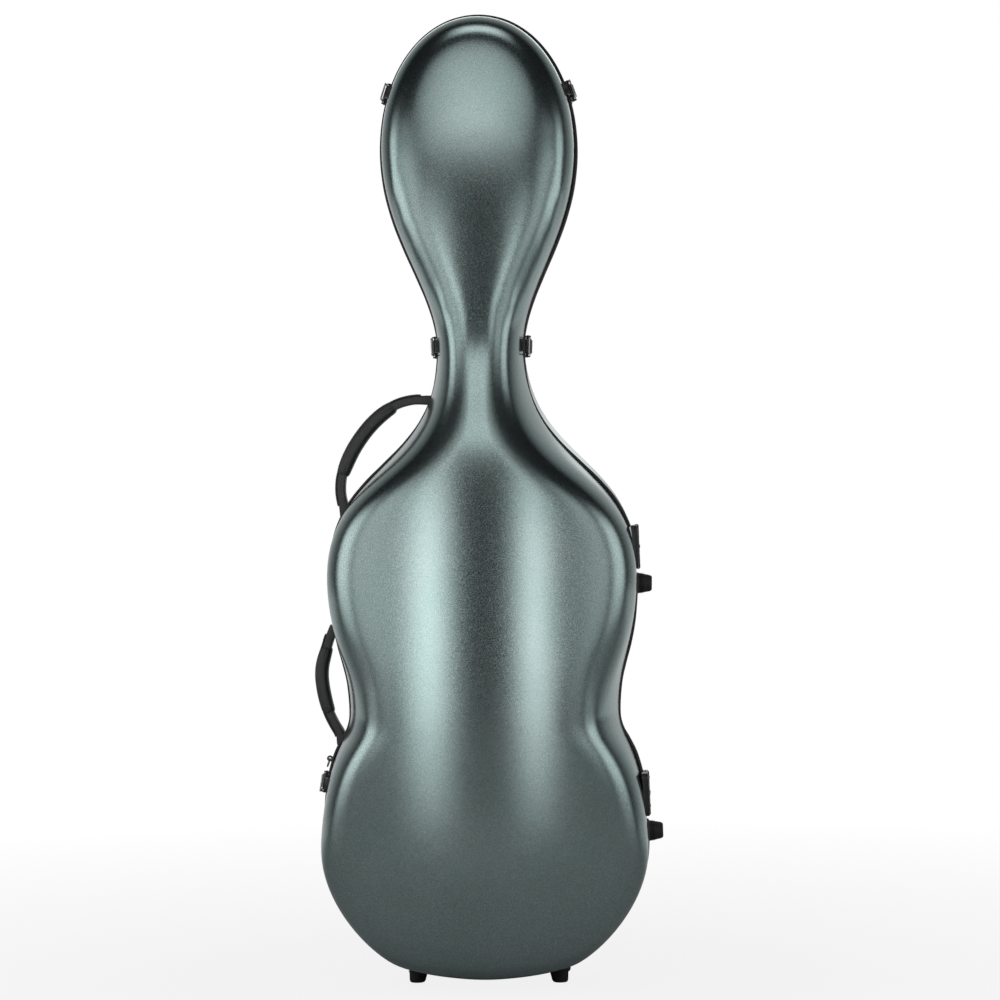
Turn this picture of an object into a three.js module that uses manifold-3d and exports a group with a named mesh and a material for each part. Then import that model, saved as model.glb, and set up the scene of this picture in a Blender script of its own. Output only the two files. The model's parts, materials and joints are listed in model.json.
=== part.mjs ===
import * as THREE from 'three';
import { mergeVertices } from 'three/addons/utils/BufferGeometryUtils.js';
import Module from 'manifold-3d';

const wasm = await Module();
wasm.setup();

// A cello case standing on its end, in millimetres. X runs across it, Y from the lid to the back and
// Z up its length. The two shells meet in the plane Y = 0.

// Driving dimensions of the outline, taken on the outer face of the shells where they meet.
const caseLength = 1342;
const lowerBoutWidth = 452;
const waistWidth = 375;
const upperBoutWidth = 428;
const neckWidth = 117;
const headWidth = 272;
const cornerSpan = 232; // across the two rounded corners where the bottom curve turns up
const cornerHeight = 16;
const heightShares = {
  lowerBout: 0.13785, waist: 0.27347, upperBout: 0.42101, neck: 0.65127, head: 0.85991,
};
const lowerBoutHeight = heightShares.lowerBout * caseLength;
const waistHeight = heightShares.waist * caseLength;
const upperBoutHeight = heightShares.upperBout * caseLength;
const neckHeight = heightShares.neck * caseLength;
const headHeight = heightShares.head * caseLength;

// Driving dimensions of the two moulded shells.
const lidDepth = 130;
const backDepth = 168;
const wall = 2.5;
const liningThickness = 5;
const seatGap = 0.3; // between pieces that rest on each other

const cutOverrun = 4; // how far a cutting solid runs past what it cuts

// Directions on the standing case.
const up = new THREE.Vector3(0, 0, 1);
const rearward = new THREE.Vector3(0, 1, 0);

// Meshes, solids and cuts.
function triangleMesh(positions, indices) {
  const geometry = new THREE.BufferGeometry();
  geometry.setAttribute('position', new THREE.Float32BufferAttribute(positions, 3));
  geometry.setIndex(indices);
  return geometry;
}

function solidOf(geometry) {
  const bare = geometry.clone();
  bare.deleteAttribute('normal');
  bare.deleteAttribute('uv');
  const welded = mergeVertices(bare);
  return new wasm.Manifold(new wasm.Mesh({
    numProp: 3,
    vertProperties: new Float32Array(welded.attributes.position.array),
    triVerts: new Uint32Array(welded.index.array),
  }));
}

function geometryOf(solid) {
  const mesh = solid.getMesh();
  return triangleMesh(Array.from(mesh.vertProperties), Array.from(mesh.triVerts));
}

function moved(geometry, x, y, z) {
  return geometry.clone().translate(x, y, z);
}

function boxBetween(low, high) {
  const size = new THREE.Vector3().subVectors(high, low);
  const centre = new THREE.Vector3().addVectors(high, low).multiplyScalar(0.5);
  return moved(new THREE.BoxGeometry(size.x, size.y, size.z), centre.x, centre.y, centre.z);
}

// A bar whose section is drawn in the Y and Z of its frame and which runs along X, centred.
function barAlongX(points, length) {
  const shape = new THREE.Shape(points.map(([y, z]) => new THREE.Vector2(y, z)));
  const bar = new THREE.ExtrudeGeometry(shape, { depth: length, bevelEnabled: false });
  const turned = new THREE.Matrix4().makeBasis(rearward, up, new THREE.Vector3(1, 0, 0));
  return bar.applyMatrix4(turned).translate(-length / 2, 0, 0);
}

function rodAlongX(radius, length, y, z, sides) {
  const rod = new THREE.CylinderGeometry(radius, radius, length, sides);
  return rod.rotateZ(Math.PI / 2).translate(0, y, z);
}

// The largest of the bodies a cut leaves: what the cut took off falls away.
function mainBody(solid) {
  return solid.decompose().reduce((most, next) => (next.volume() > most.volume() ? next : most));
}

function joined(...geometries) {
  return geometries.map(solidOf).reduce((sum, next) => sum.add(next));
}

// Finishes, by what each piece is made of.
const finishes = {
  shell: new THREE.MeshStandardMaterial({ color: 0x7c9690, roughness: 0.36, metalness: 0.55 }),
  rim: new THREE.MeshStandardMaterial({ color: 0x141516, roughness: 0.6, metalness: 0 }),
  hardware: new THREE.MeshStandardMaterial({ color: 0x1a1b1d, roughness: 0.42, metalness: 0.6 }),
  steel: new THREE.MeshStandardMaterial({ color: 0xb9bcbf, roughness: 0.3, metalness: 1 }),
  rubber: new THREE.MeshStandardMaterial({ color: 0x1b1c1c, roughness: 0.75, metalness: 0 }),
  leather: new THREE.MeshStandardMaterial({ color: 0x1d1d1e, roughness: 0.55, metalness: 0 }),
  plush: new THREE.MeshStandardMaterial({ color: 0x2b3133, roughness: 0.95, metalness: 0 }),
  plastic: new THREE.MeshStandardMaterial({ color: 0x202122, roughness: 0.5, metalness: 0 }),
};

const caseGroup = new THREE.Group();

function addPiece(parent, name, shape, finish) {
  const geometry = shape.isBufferGeometry ? shape : geometryOf(shape);
  const mesh = new THREE.Mesh(geometry, finish);
  mesh.name = name;
  parent.add(mesh);
  return mesh;
}

// The outline: right half, from the middle of the bottom to the middle of the top. Each station is a
// widest or narrowest place, where the curve runs straight up. The shares say how far the curve holds
// that direction, below and above, as a share of the height to the next station.
const stations = [
  { half: lowerBoutWidth / 2, height: lowerBoutHeight, belowShare: 0.49, aboveShare: 0.85 },
  { half: waistWidth / 2, height: waistHeight, belowShare: 0.25, aboveShare: 0.41 },
  { half: upperBoutWidth / 2, height: upperBoutHeight, belowShare: 0.62, aboveShare: 0.51 },
  { half: neckWidth / 2, height: neckHeight, belowShare: 0.54, aboveShare: 0.31 },
  { half: headWidth / 2, height: headHeight, belowShare: 0.44, aboveShare: 0.56 },
];
const bottomFlatShare = 0.12;
const cornerRiseShare = 0.36; // slope of the bottom curve at its corner
const cornerBelowShare = 0.32;
const cornerAboveShare = 0.35;
const crownFlatShare = 0.58;

function outlineCurves() {
  const point = (x, z) => new THREE.Vector2(x, z);
  const corner = point(cornerSpan / 2, cornerHeight);
  const first = stations[0];
  const last = stations[stations.length - 1];
  const below = cornerBelowShare * corner.x;
  const beyond = cornerAboveShare * (first.half - corner.x);
  const curves = [
    new THREE.CubicBezierCurve(
      point(0, 0),
      point(bottomFlatShare * corner.x, 0),
      point(corner.x - below, corner.y - below * cornerRiseShare),
      corner,
    ),
    new THREE.CubicBezierCurve(
      corner,
      point(corner.x + beyond, corner.y + beyond * cornerRiseShare),
      point(first.half, first.height - first.belowShare * (first.height - corner.y)),
      point(first.half, first.height),
    ),
  ];
  for (let i = 0; i < stations.length - 1; i += 1) {
    const from = stations[i];
    const to = stations[i + 1];
    const rise = to.height - from.height;
    curves.push(new THREE.CubicBezierCurve(
      point(from.half, from.height),
      point(from.half, from.height + from.aboveShare * rise),
      point(to.half, to.height - to.belowShare * rise),
      point(to.half, to.height),
    ));
  }
  curves.push(new THREE.CubicBezierCurve(
    point(last.half, last.height),
    point(last.half, last.height + last.aboveShare * (caseLength - last.height)),
    point(crownFlatShare * last.half, caseLength),
    point(0, caseLength),
  ));
  return curves;
}

const curves = outlineCurves();
const curveSteps = [3, 6, 5, 5, 8, 7, 6];

// A place on the outline: its point and the outward direction, both in the X, Z plane.
function placeOn(curve, share) {
  const at = curve.getPoint(share);
  const tangent = curve.getTangent(share);
  return { x: at.x, z: at.y, outX: tangent.y, outZ: -tangent.x };
}

function mirrored(place) {
  return { x: -place.x, z: place.z, outX: -place.outX, outZ: place.outZ };
}

function outlineLoop() {
  const right = [];
  curves.forEach((curve, i) => {
    for (let step = 0; step < curveSteps[i]; step += 1) {
      right.push(placeOn(curve, step / curveSteps[i]));
    }
  });
  const top = placeOn(curves[curves.length - 1], 1);
  const left = right.slice(1).reverse().map(mirrored);
  return [...right, top, ...left];
}

const loop = outlineLoop();

// Finds a place on one half of the outline by bisection, by its height or by its distance across.
function placeAt(curve, measure, wanted) {
  let low = 0;
  let high = 1;
  const rising = measure(curve.getPoint(1)) > measure(curve.getPoint(0));
  const halvings = 30;
  for (let i = 0; i < halvings; i += 1) {
    const middle = (low + high) / 2;
    const short = measure(curve.getPoint(middle)) < wanted;
    if (short === rising) low = middle;
    else high = middle;
  }
  return placeOn(curve, (low + high) / 2);
}

function placeAtHeight(height) {
  const curve = curves.find((candidate) => candidate.getPoint(1).y >= height) ?? curves[curves.length - 1];
  return placeAt(curve, (point) => point.y, height);
}

function placeUnder(distance) {
  const curve = distance < cornerSpan / 2 ? curves[0] : curves[1];
  return placeAt(curve, (point) => point.x, distance);
}

// Smooth tables along the height. A table holds one share for each of these heights.
const shoulderShare = 0.55;
const shoulderHeight = upperBoutHeight + shoulderShare * (neckHeight - upperBoutHeight);
const tableHeights = [
  0, lowerBoutHeight, waistHeight, upperBoutHeight, shoulderHeight, neckHeight, headHeight, caseLength,
];

function tableSlope(values, i) {
  const before = Math.max(i - 1, 0);
  const after = Math.min(i + 1, values.length - 1);
  return (values[after] - values[before]) / (tableHeights[after] - tableHeights[before]);
}

function shareAt(values, height) {
  const inside = Math.min(Math.max(height, 0), caseLength);
  let i = 0;
  while (i < tableHeights.length - 2 && inside > tableHeights[i + 1]) i += 1;
  const span = tableHeights[i + 1] - tableHeights[i];
  const t = (inside - tableHeights[i]) / span;
  const startSlope = tableSlope(values, i) * span;
  const endSlope = tableSlope(values, i + 1) * span;
  const rise = values[i + 1] - values[i];
  const bend = 3 * rise - 2 * startSlope - endSlope;
  return values[i] + startSlope * t + bend * t ** 2 + (startSlope + endSlope - 2 * rise) * t ** 3;
}

// The moulded shells. A straight land at the edge carries the rim profile. From it the wall rises,
// bulging past the land at the bouts or leaning inwards at the shoulders and the waist, turns over a
// wide rounding and becomes a crowned face that is highest along the middle line of the case.
const landHeight = 10;
const edgeRounding = 58;
const wallLean = 10;
const middleRiseShare = 0.962;
const middleDropShare = 0.771;
const middleRise = middleRiseShare * lowerBoutHeight; // the middle line's lower end above the bottom
const middleDrop = middleDropShare * (caseLength - headHeight); // and its upper end below the top
const lidShell = {
  facing: -1,
  depth: lidDepth,
  crown: 42, // how far the face falls from the middle line out to half the lower bout's width
  depthShares: [0.8, 0.96, 1, 0.95, 0.85, 0.62, 0.66, 0.5],
  roundingShares: [0.9, 0.85, 1.15, 0.85, 1.1, 0.76, 0.85, 0.75],
  leanShares: [-1.6, -2.2, 1.2, -2.1, 1.3, 0.5, -0.7, -0.4],
};
const backShell = {
  facing: 1,
  depth: backDepth,
  crown: 10,
  depthShares: [0.93, 1, 1, 0.97, 0.82, 0.48, 0.5, 0.42],
  roundingShares: [0.75, 0.75, 0.75, 0.75, 0.8, 0.7, 0.75, 0.7],
  leanShares: [-0.8, -1.2, -0.5, -1.2, -2.8, -0.5, -0.6, -0.3],
};

const poleShare = 0.3; // stations nearer an end than this share of its reach meet in one point

function middleHeight(height) {
  const lowest = poleShare * middleRise;
  const highest = caseLength - poleShare * middleDrop;
  const held = Math.min(Math.max(height, lowest), highest);
  const lower = middleRise * Math.exp(-held / middleRise);
  const upper = middleDrop * Math.exp(-(caseLength - held) / middleDrop);
  return held + lower - upper;
}

function faceRise(shell, x, z) {
  return shell.depth * shareAt(shell.depthShares, z) - shell.crown * (2 * x / lowerBoutWidth) ** 2;
}

// The section of a shell over one place of the outline. Its stage runs from 0 to 1 up the land, to 2
// over the wall and the rounding, and to 3 across the face to the middle line.
const wallHoldShare = 0.72;
const roundingHoldShare = 0.6;
const mostRoundingShare = 0.85;
const slopeStep = 1;

function sectionAt(shell, place, stage) {
  const inward = new THREE.Vector2(-place.x, middleHeight(place.z) - place.z);
  const reach = -(inward.x * place.outX + inward.y * place.outZ);
  const onRay = (inset) => new THREE.Vector2(place.x, place.z).addScaledVector(inward, inset / reach);
  const raised = (at, rise) => new THREE.Vector3(at.x, shell.facing * rise, at.y);
  if (stage <= 1) return raised(onRay(0), landHeight * stage);
  const rounding = Math.min(
    edgeRounding * shareAt(shell.roundingShares, place.z),
    mostRoundingShare * reach,
  );
  const riseAt = (inset) => {
    const at = onRay(inset);
    return faceRise(shell, at.x, at.y);
  };
  if (stage > 2) {
    const inset = rounding + (stage - 2) * (reach - rounding);
    return raised(onRay(inset), riseAt(inset));
  }
  const edge = riseAt(rounding);
  const slope = (riseAt(rounding + slopeStep) - edge) / slopeStep;
  const lean = wallLean * shareAt(shell.leanShares, place.z);
  const held = roundingHoldShare * rounding;
  const turn = new THREE.CubicBezierCurve(
    new THREE.Vector2(0, landHeight),
    new THREE.Vector2(lean, landHeight + wallHoldShare * (edge - landHeight)),
    new THREE.Vector2(rounding - held, edge - slope * held),
    new THREE.Vector2(rounding, edge),
  ).getPoint(stage - 1);
  return raised(onRay(turn.x), turn.y);
}

// Outward direction of a shell's face at a place of the loop: over the wall by the cross product of
// its two slopes, on the face from how the rise changes.
const probe = 0.02;

function faceOut(shell, index, stage) {
  const before = loop[(index + loop.length - 1) % loop.length];
  const after = loop[(index + 1) % loop.length];
  const place = loop[index];
  if (stage <= 1) return new THREE.Vector3(place.outX, 0, place.outZ);
  if (stage >= 2) {
    const at = sectionAt(shell, place, stage);
    const rise = faceRise(shell, at.x, at.z);
    const fallX = (rise - faceRise(shell, at.x + slopeStep, at.z)) / slopeStep;
    const fallZ = (rise - faceRise(shell, at.x, at.z + slopeStep)) / slopeStep;
    return new THREE.Vector3(stage === 3 ? 0 : fallX, shell.facing, fallZ).normalize();
  }
  const along = sectionAt(shell, after, stage).sub(sectionAt(shell, before, stage));
  const over = sectionAt(shell, place, stage + probe).sub(sectionAt(shell, place, stage - probe));
  return along.cross(over).multiplyScalar(-shell.facing).normalize();
}

function ringOf(shell, stage, inset) {
  return loop.map((place, index) => {
    const out = faceOut(shell, index, stage);
    return sectionAt(shell, place, stage).addScaledVector(out, -inset);
  });
}

// Closes rings of points, from the outer face round the edge to the inner face, into one skin. The
// first and last rings lie on the middle line, where their left and right points fall together. A
// quad is split the same way in every skin, so that two skins side by side stay parallel.
function skinOf(rings, facing) {
  const count = loop.length;
  const positions = rings.flatMap((ring) => ring.flatMap((point) => [point.x, point.y, point.z]));
  const indices = [];
  for (let r = 0; r < rings.length - 1; r += 1) {
    const descending = facing * (rings[r][0].y - rings[r + 1][0].y) > 0;
    for (let i = 0; i < count; i += 1) {
      const next = (i + 1) % count;
      const [a, b] = [r * count + i, r * count + next];
      const [c, d] = [a + count, b + count];
      const mirroredSide = i >= count / 2;
      const halves = mirroredSide === descending ? [[a, c, d], [a, d, b]] : [[a, c, b], [b, c, d]];
      halves.forEach(([p, q, s]) => indices.push(...(facing > 0 ? [p, s, q] : [p, q, s])));
    }
  }
  const merged = mergeVertices(triangleMesh(positions, indices));
  return triangleMesh(Array.from(merged.attributes.position.array), withoutSlivers(merged));
}

// Leaves out triangles whose corners fell together when the points were merged.
function withoutSlivers(geometry) {
  const index = Array.from(geometry.index.array);
  const kept = [];
  for (let i = 0; i < index.length; i += 3) {
    const [a, b, c] = index.slice(i, i + 3);
    if (a !== b && b !== c && c !== a) kept.push(a, b, c);
  }
  return kept;
}

const outerStages = [3, 2.66, 2.33, 2, 1.8, 1.6, 1.4, 1.2, 1];
const innerStages = [1, 1.4, 1.8, 2.33, 3];

// A layer of a shell between two insets, whose edge stands at a height above the joining plane.
function shellLayer(shell, edgeHeight, outerInset, innerInset, outside, inside) {
  const edgeStage = edgeHeight / landHeight;
  const rings = [
    ...outside.map((stage) => ringOf(shell, stage, outerInset)),
    ringOf(shell, edgeStage, outerInset),
    ringOf(shell, edgeStage, innerInset),
    ...inside.map((stage) => ringOf(shell, stage, innerInset)),
  ];
  return skinOf(rings, shell.facing);
}

// The space inside a shell past an inset, or with a negative inset the shell as a filled solid, cut
// off in the joining plane. Pieces that seat on a shell are cut with it.
function filled(shell, inset, stages) {
  const flat = loop.map((place) => new THREE.Vector3(0, 0, middleHeight(place.z)));
  const rings = [
    ...stages.map((stage) => ringOf(shell, stage, inset)),
    ringOf(shell, 0, inset),
    flat,
  ];
  return skinOf(rings, shell.facing);
}

// Rim profiles: black channels pushed over the land of each shell, with a bead outside. The lid's
// has a tongue that enters the back shell just inside the back's rim.
const rimBead = 3;
const rimHeight = 8;
const rimWeb = 1.6;
const rimFlange = 1.6;
const rimParting = 0.4; // between the two rims when the case is shut
const tongueHeight = 4;
const tongueThickness = 2;
const tongueClearance = 0.6;
const beadChamfer = 1.2;
const shellEdge = rimParting / 2 + rimWeb + seatGap;

function rimSection(tongue) {
  const face = rimParting / 2;
  const channelOut = seatGap;
  const channelIn = -wall - seatGap;
  const flangeIn = channelIn - rimFlange;
  const bead = [
    [channelOut, rimHeight],
    [channelOut, shellEdge - seatGap],
    [channelIn, shellEdge - seatGap],
    [channelIn, rimHeight],
  ];
  const outside = [
    [rimBead - beadChamfer, face],
    [rimBead, face + beadChamfer],
    [rimBead, rimHeight - beadChamfer],
    [rimBead - beadChamfer, rimHeight],
  ];
  if (!tongue) return [...bead, [flangeIn, rimHeight], [flangeIn, face], ...outside];
  const tongueOut = flangeIn - tongueClearance;
  const tongueIn = tongueOut - tongueThickness;
  return [
    ...bead, [tongueIn, rimHeight], [tongueIn, -tongueHeight], [tongueOut, -tongueHeight],
    [tongueOut, face], ...outside,
  ];
}

function rimProfile(shell, tongue) {
  const section = rimSection(tongue);
  const rings = section.map(([out, rise]) => loop.map((place) => (
    new THREE.Vector3(place.x + place.outX * out, shell.facing * rise, place.z + place.outZ * out)
  )));
  const count = loop.length;
  const flip = shell.facing > 0;
  const positions = rings.flatMap((ring) => ring.flatMap((point) => [point.x, point.y, point.z]));
  const indices = [];
  for (let r = 0; r < rings.length; r += 1) {
    const nextRing = (r + 1) % rings.length;
    for (let i = 0; i < count; i += 1) {
      const next = (i + 1) % count;
      const [a, b] = [r * count + i, r * count + next];
      const [c, d] = [nextRing * count + i, nextRing * count + next];
      const halves = [[a, b, c], [b, d, c]];
      halves.forEach(([p, q, s]) => indices.push(...(flip ? [p, s, q] : [p, q, s])));
    }
  }
  return triangleMesh(positions, indices);
}

// Insets of what lines the shells, and the solids that cut whatever seats on them.
const liningInset = wall + seatGap;
const cavityInset = liningInset + liningThickness + seatGap;
const lidOutside = filled(lidShell, -seatGap, outerStages);
const backOutside = filled(backShell, -seatGap, outerStages);
const lidSkin = filled(lidShell, 0, outerStages);
const backSkin = filled(backShell, 0, outerStages);
const lidCavity = solidOf(filled(lidShell, cavityInset, innerStages.slice().reverse()));
const backCavity = solidOf(filled(backShell, cavityInset, innerStages.slice().reverse()));

// Adds a frame whose X runs along the case's edge, Y to the back and Z away from the wall.
function edgeFrame(x, z, outX, outZ) {
  const frame = new THREE.Group();
  const out = new THREE.Vector3(outX, 0, outZ).normalize();
  const along = new THREE.Vector3().crossVectors(rearward, out);
  frame.quaternion.setFromRotationMatrix(new THREE.Matrix4().makeBasis(along, rearward, out));
  frame.position.set(x, 0, z);
  frame.updateMatrix();
  caseGroup.add(frame);
  return frame;
}

function wallFrame(side, height) {
  const place = placeAtHeight(height);
  return edgeFrame(side * place.x, place.z, side * place.outX, place.outZ);
}

function inFrame(frame, geometry) {
  return solidOf(geometry.clone().applyMatrix4(frame.matrix.clone().invert()));
}

// Hinge line: straight, just outside the beads where the two bouts reach furthest.
const hingeStandoff = 0.3;
const hingeTop = new THREE.Vector3(upperBoutWidth / 2 + rimBead + hingeStandoff, 0, upperBoutHeight);
const hingeBottom = new THREE.Vector3(lowerBoutWidth / 2 + rimBead + hingeStandoff, 0, lowerBoutHeight);
const upperHingeShare = 0.44486;
const lowerHingeShare = 0.18778;
const hingeLength = 60;
const middleKnuckle = 20;
const knuckleRadius = 3.2;
const hingePinRadius = 1.5;
const hingePinHeadRadius = 2.6;
const hingePinHead = 1.4;
const hingePlay = 0.3;
const leafReach = 32;
const leafSetback = 4.3; // from the hinge line to the flat of a leaf
const leafNearFace = 1.5; // how far the leaf stands out from the hinge line
const leafFarFace = 3.2;
const leafDepth = 16;
const leafChamfer = 1.2;
const notchMargin = 1;
const pinSides = 12;

function hingeFrame(caseShare) {
  const height = caseShare * caseLength;
  const share = (height - hingeBottom.z) / (hingeTop.z - hingeBottom.z);
  const at = hingeBottom.clone().lerp(hingeTop, share);
  const line = hingeTop.clone().sub(hingeBottom).normalize();
  return edgeFrame(at.x, at.z, line.z, -line.x);
}

const upperHinge = hingeFrame(upperHingeShare);
const lowerHinge = hingeFrame(lowerHingeShare);

// One leaf. Its knuckles stand at the given centres along the hinge line.
function hingeLeaf(frame, facing, outside, knuckles) {
  const plate = barAlongX([
    [facing * leafSetback, -leafDepth],
    [facing * leafReach, -leafDepth],
    [facing * leafReach, leafFarFace - leafChamfer],
    [facing * (leafReach - leafChamfer), leafFarFace],
    [facing * leafSetback, leafNearFace],
  ], hingeLength);
  const pieces = knuckles.flatMap(([centre, length]) => [
    rodAlongX(knuckleRadius, length, 0, 0, pinSides).translate(centre, 0, 0),
    barAlongX([
      [0, -knuckleRadius],
      [facing * (leafSetback + seatGap), -knuckleRadius],
      [facing * (leafSetback + seatGap), leafNearFace],
      [0, leafNearFace],
    ], length).translate(centre, 0, 0),
  ]);
  const bore = solidOf(rodAlongX(hingePinRadius + hingePlay, hingeLength + cutOverrun, 0, 0, pinSides));
  return joined(plate, ...pieces).subtract(bore).subtract(inFrame(frame, outside));
}

function addHinge(name, frame) {
  const outerKnuckle = (hingeLength - middleKnuckle) / 2 - hingePlay;
  const outerCentre = (hingeLength - outerKnuckle) / 2;
  addPiece(frame, `${name}_back_leaf`, hingeLeaf(frame, 1, backOutside, [
    [-outerCentre, outerKnuckle], [outerCentre, outerKnuckle],
  ]), finishes.hardware);
  addPiece(frame, `${name}_lid_leaf`, hingeLeaf(frame, -1, lidOutside, [
    [0, middleKnuckle],
  ]), finishes.hardware);
  const headCentre = (hingeLength + hingePinHead) / 2 + hingePlay;
  addPiece(frame, `${name}_pin`, joined(
    rodAlongX(hingePinRadius, 2 * headCentre, 0, 0, pinSides),
    rodAlongX(hingePinHeadRadius, hingePinHead, 0, 0, pinSides).translate(headCentre, 0, 0),
    rodAlongX(hingePinHeadRadius, hingePinHead, 0, 0, pinSides).translate(-headCentre, 0, 0),
  ), finishes.steel);
}

addHinge('upper_hinge', upperHinge);
addHinge('lower_hinge', lowerHinge);

// The shells, and the rims, which are notched down to the shell where a hinge crosses them.
addPiece(
  caseGroup, 'lid_shell', shellLayer(lidShell, shellEdge, 0, wall, outerStages, innerStages),
  finishes.shell,
);
addPiece(
  caseGroup, 'back_shell', shellLayer(backShell, shellEdge, 0, wall, outerStages, innerStages),
  finishes.shell,
);

function hingeNotch(frame) {
  const along = hingeLength / 2 + hingePinHead + notchMargin;
  const across = rimHeight + notchMargin;
  const block = boxBetween(
    new THREE.Vector3(-along, -across, -leafDepth),
    new THREE.Vector3(along, across, leafDepth),
  );
  return solidOf(block.applyMatrix4(frame.matrix))
    .subtract(solidOf(lidSkin))
    .subtract(solidOf(backSkin));
}

const notches = [hingeNotch(upperHinge), hingeNotch(lowerHinge)];

function addRim(name, shell, tongue) {
  const rim = solidOf(rimProfile(shell, tongue));
  const notched = notches.reduce((left, notch) => left.subtract(notch), rim);
  addPiece(caseGroup, name, mainBody(notched), finishes.rim);
}

addRim('lid_rim', lidShell, true);
addRim('back_rim', backShell, false);

// Plush-covered foam bonded inside each shell. It starts where the land ends, clear of the tongue.
function addLining(name, shell) {
  const lining = shellLayer(
    shell, landHeight, liningInset, liningInset + liningThickness,
    innerStages.slice(1).reverse(), innerStages.slice(1),
  );
  addPiece(caseGroup, name, lining, finishes.plush);
}

addLining('lid_lining', lidShell);
addLining('back_lining', backShell);

// Draw latches. The lever turns on a cross pin in the ears of its base and carries a wire bail, whose
// bar lies over the keeper's lip on the lid. In a latch's frame X runs along the case's edge, Y from
// the joining plane to the back and Z away from the wall.
const latchWidth = 30;
const latchDeck = 3.4; // top of the base plate above the land
const baseNear = 9;
const baseFar = 41;
const seatDepth = 16; // how far a fitting reaches in before it is cut to the wall
const earThickness = 2;
const earNear = 10.5;
const earFar = 18.5;
const earChamfer = 2.5;
const pivotAcross = 14;
const pivotRound = 2.8;
const pivotAbove = latchDeck + seatGap + pivotRound;
const crossPinRadius = 1.5;
const latchPlay = 0.3;
const leverWidth = 18.8;
const bailThrow = 10; // from the lever's pivot to the bail's
const bailLift = 3.6;
const bailRound = 2.5;
const wireRadius = 1.2;
const wireGap = 0.6; // between the lever's cheek and the wire
const wireEntry = 3.2; // how deep the wire ends sit in the lever
const leverReach = 45;
const leverThickness = 2.4;
const leverCurl = 4.5;
const bladeAbove = 4.7;
const barAcross = -13.6; // the bail's bar, on the lid's side of the joining plane
const barAbove = 9.7;
const wireSides = 8;

const keeperWidth = 17;
const keeperNear = 8.7;
const keeperFar = 25;
const keeperPlate = 4.8;
const keeperRise = 3.4;
const lipTop = 7.3;
const lipNear = 11;
const lipFar = 14.8;
const lipHollow = 1.3;

function latchBase(frame) {
  const half = latchWidth / 2;
  const plate = boxBetween(
    new THREE.Vector3(-half, baseNear, -seatDepth),
    new THREE.Vector3(half, baseFar, latchDeck),
  );
  const earTop = pivotAbove + pivotRound + crossPinRadius;
  const earShape = [
    [earNear, 0], [earFar, 0], [earFar, earTop - earChamfer], [earFar - earChamfer, earTop],
    [earNear + earChamfer, earTop], [earNear, earTop - earChamfer],
  ];
  const earCentre = half - earThickness / 2;
  const ears = [-earCentre, earCentre].map((x) => barAlongX(earShape, earThickness).translate(x, 0, 0));
  const hole = rodAlongX(
    crossPinRadius + latchPlay, latchWidth + cutOverrun, pivotAcross, pivotAbove, pinSides,
  );
  return joined(plate, ...ears).subtract(solidOf(hole)).subtract(inFrame(frame, backOutside));
}

// The lever's side view: round the pivot, along the underside to the curled tip and back over the
// round end that holds the bail.
function latchLever() {
  const shape = new THREE.Shape();
  const bailAcross = pivotAcross + bailThrow;
  const bailAbove = pivotAbove + bailLift;
  const lean = Math.atan2(bailLift, bailThrow);
  const upright = Math.PI / 2 + lean;
  const curlTop = bladeAbove + leverCurl;
  shape.absarc(pivotAcross, pivotAbove, pivotRound, upright, Math.PI * 1.5, false);
  shape.lineTo(bailAcross, bladeAbove - leverThickness / 2);
  shape.lineTo(leverReach, bladeAbove - leverThickness / 2);
  shape.lineTo(leverReach + leverCurl, curlTop - leverThickness);
  shape.lineTo(leverReach + leverCurl - leverThickness / 2, curlTop);
  shape.lineTo(leverReach - leverThickness, bladeAbove + leverThickness / 2);
  shape.lineTo(bailAcross + bailRound + leverThickness, bladeAbove + leverThickness / 2);
  shape.absarc(bailAcross, bailAbove, bailRound, 0, upright, false);
  const curveSegments = 4;
  const blade = barAlongX(
    shape.extractPoints(curveSegments).shape.map((point) => [point.x, point.y]), leverWidth,
  );
  const crossPin = rodAlongX(crossPinRadius, latchWidth, pivotAcross, pivotAbove, pinSides);
  const socketLength = wireEntry + latchPlay + cutOverrun;
  const socketCentre = leverWidth / 2 + cutOverrun - socketLength / 2;
  const socket = rodAlongX(wireRadius + latchPlay, socketLength, bailAcross, bailAbove, pinSides);
  return joined(blade, crossPin)
    .subtract(solidOf(moved(socket, socketCentre, 0, 0)))
    .subtract(solidOf(moved(socket, -socketCentre, 0, 0)));
}

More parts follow.
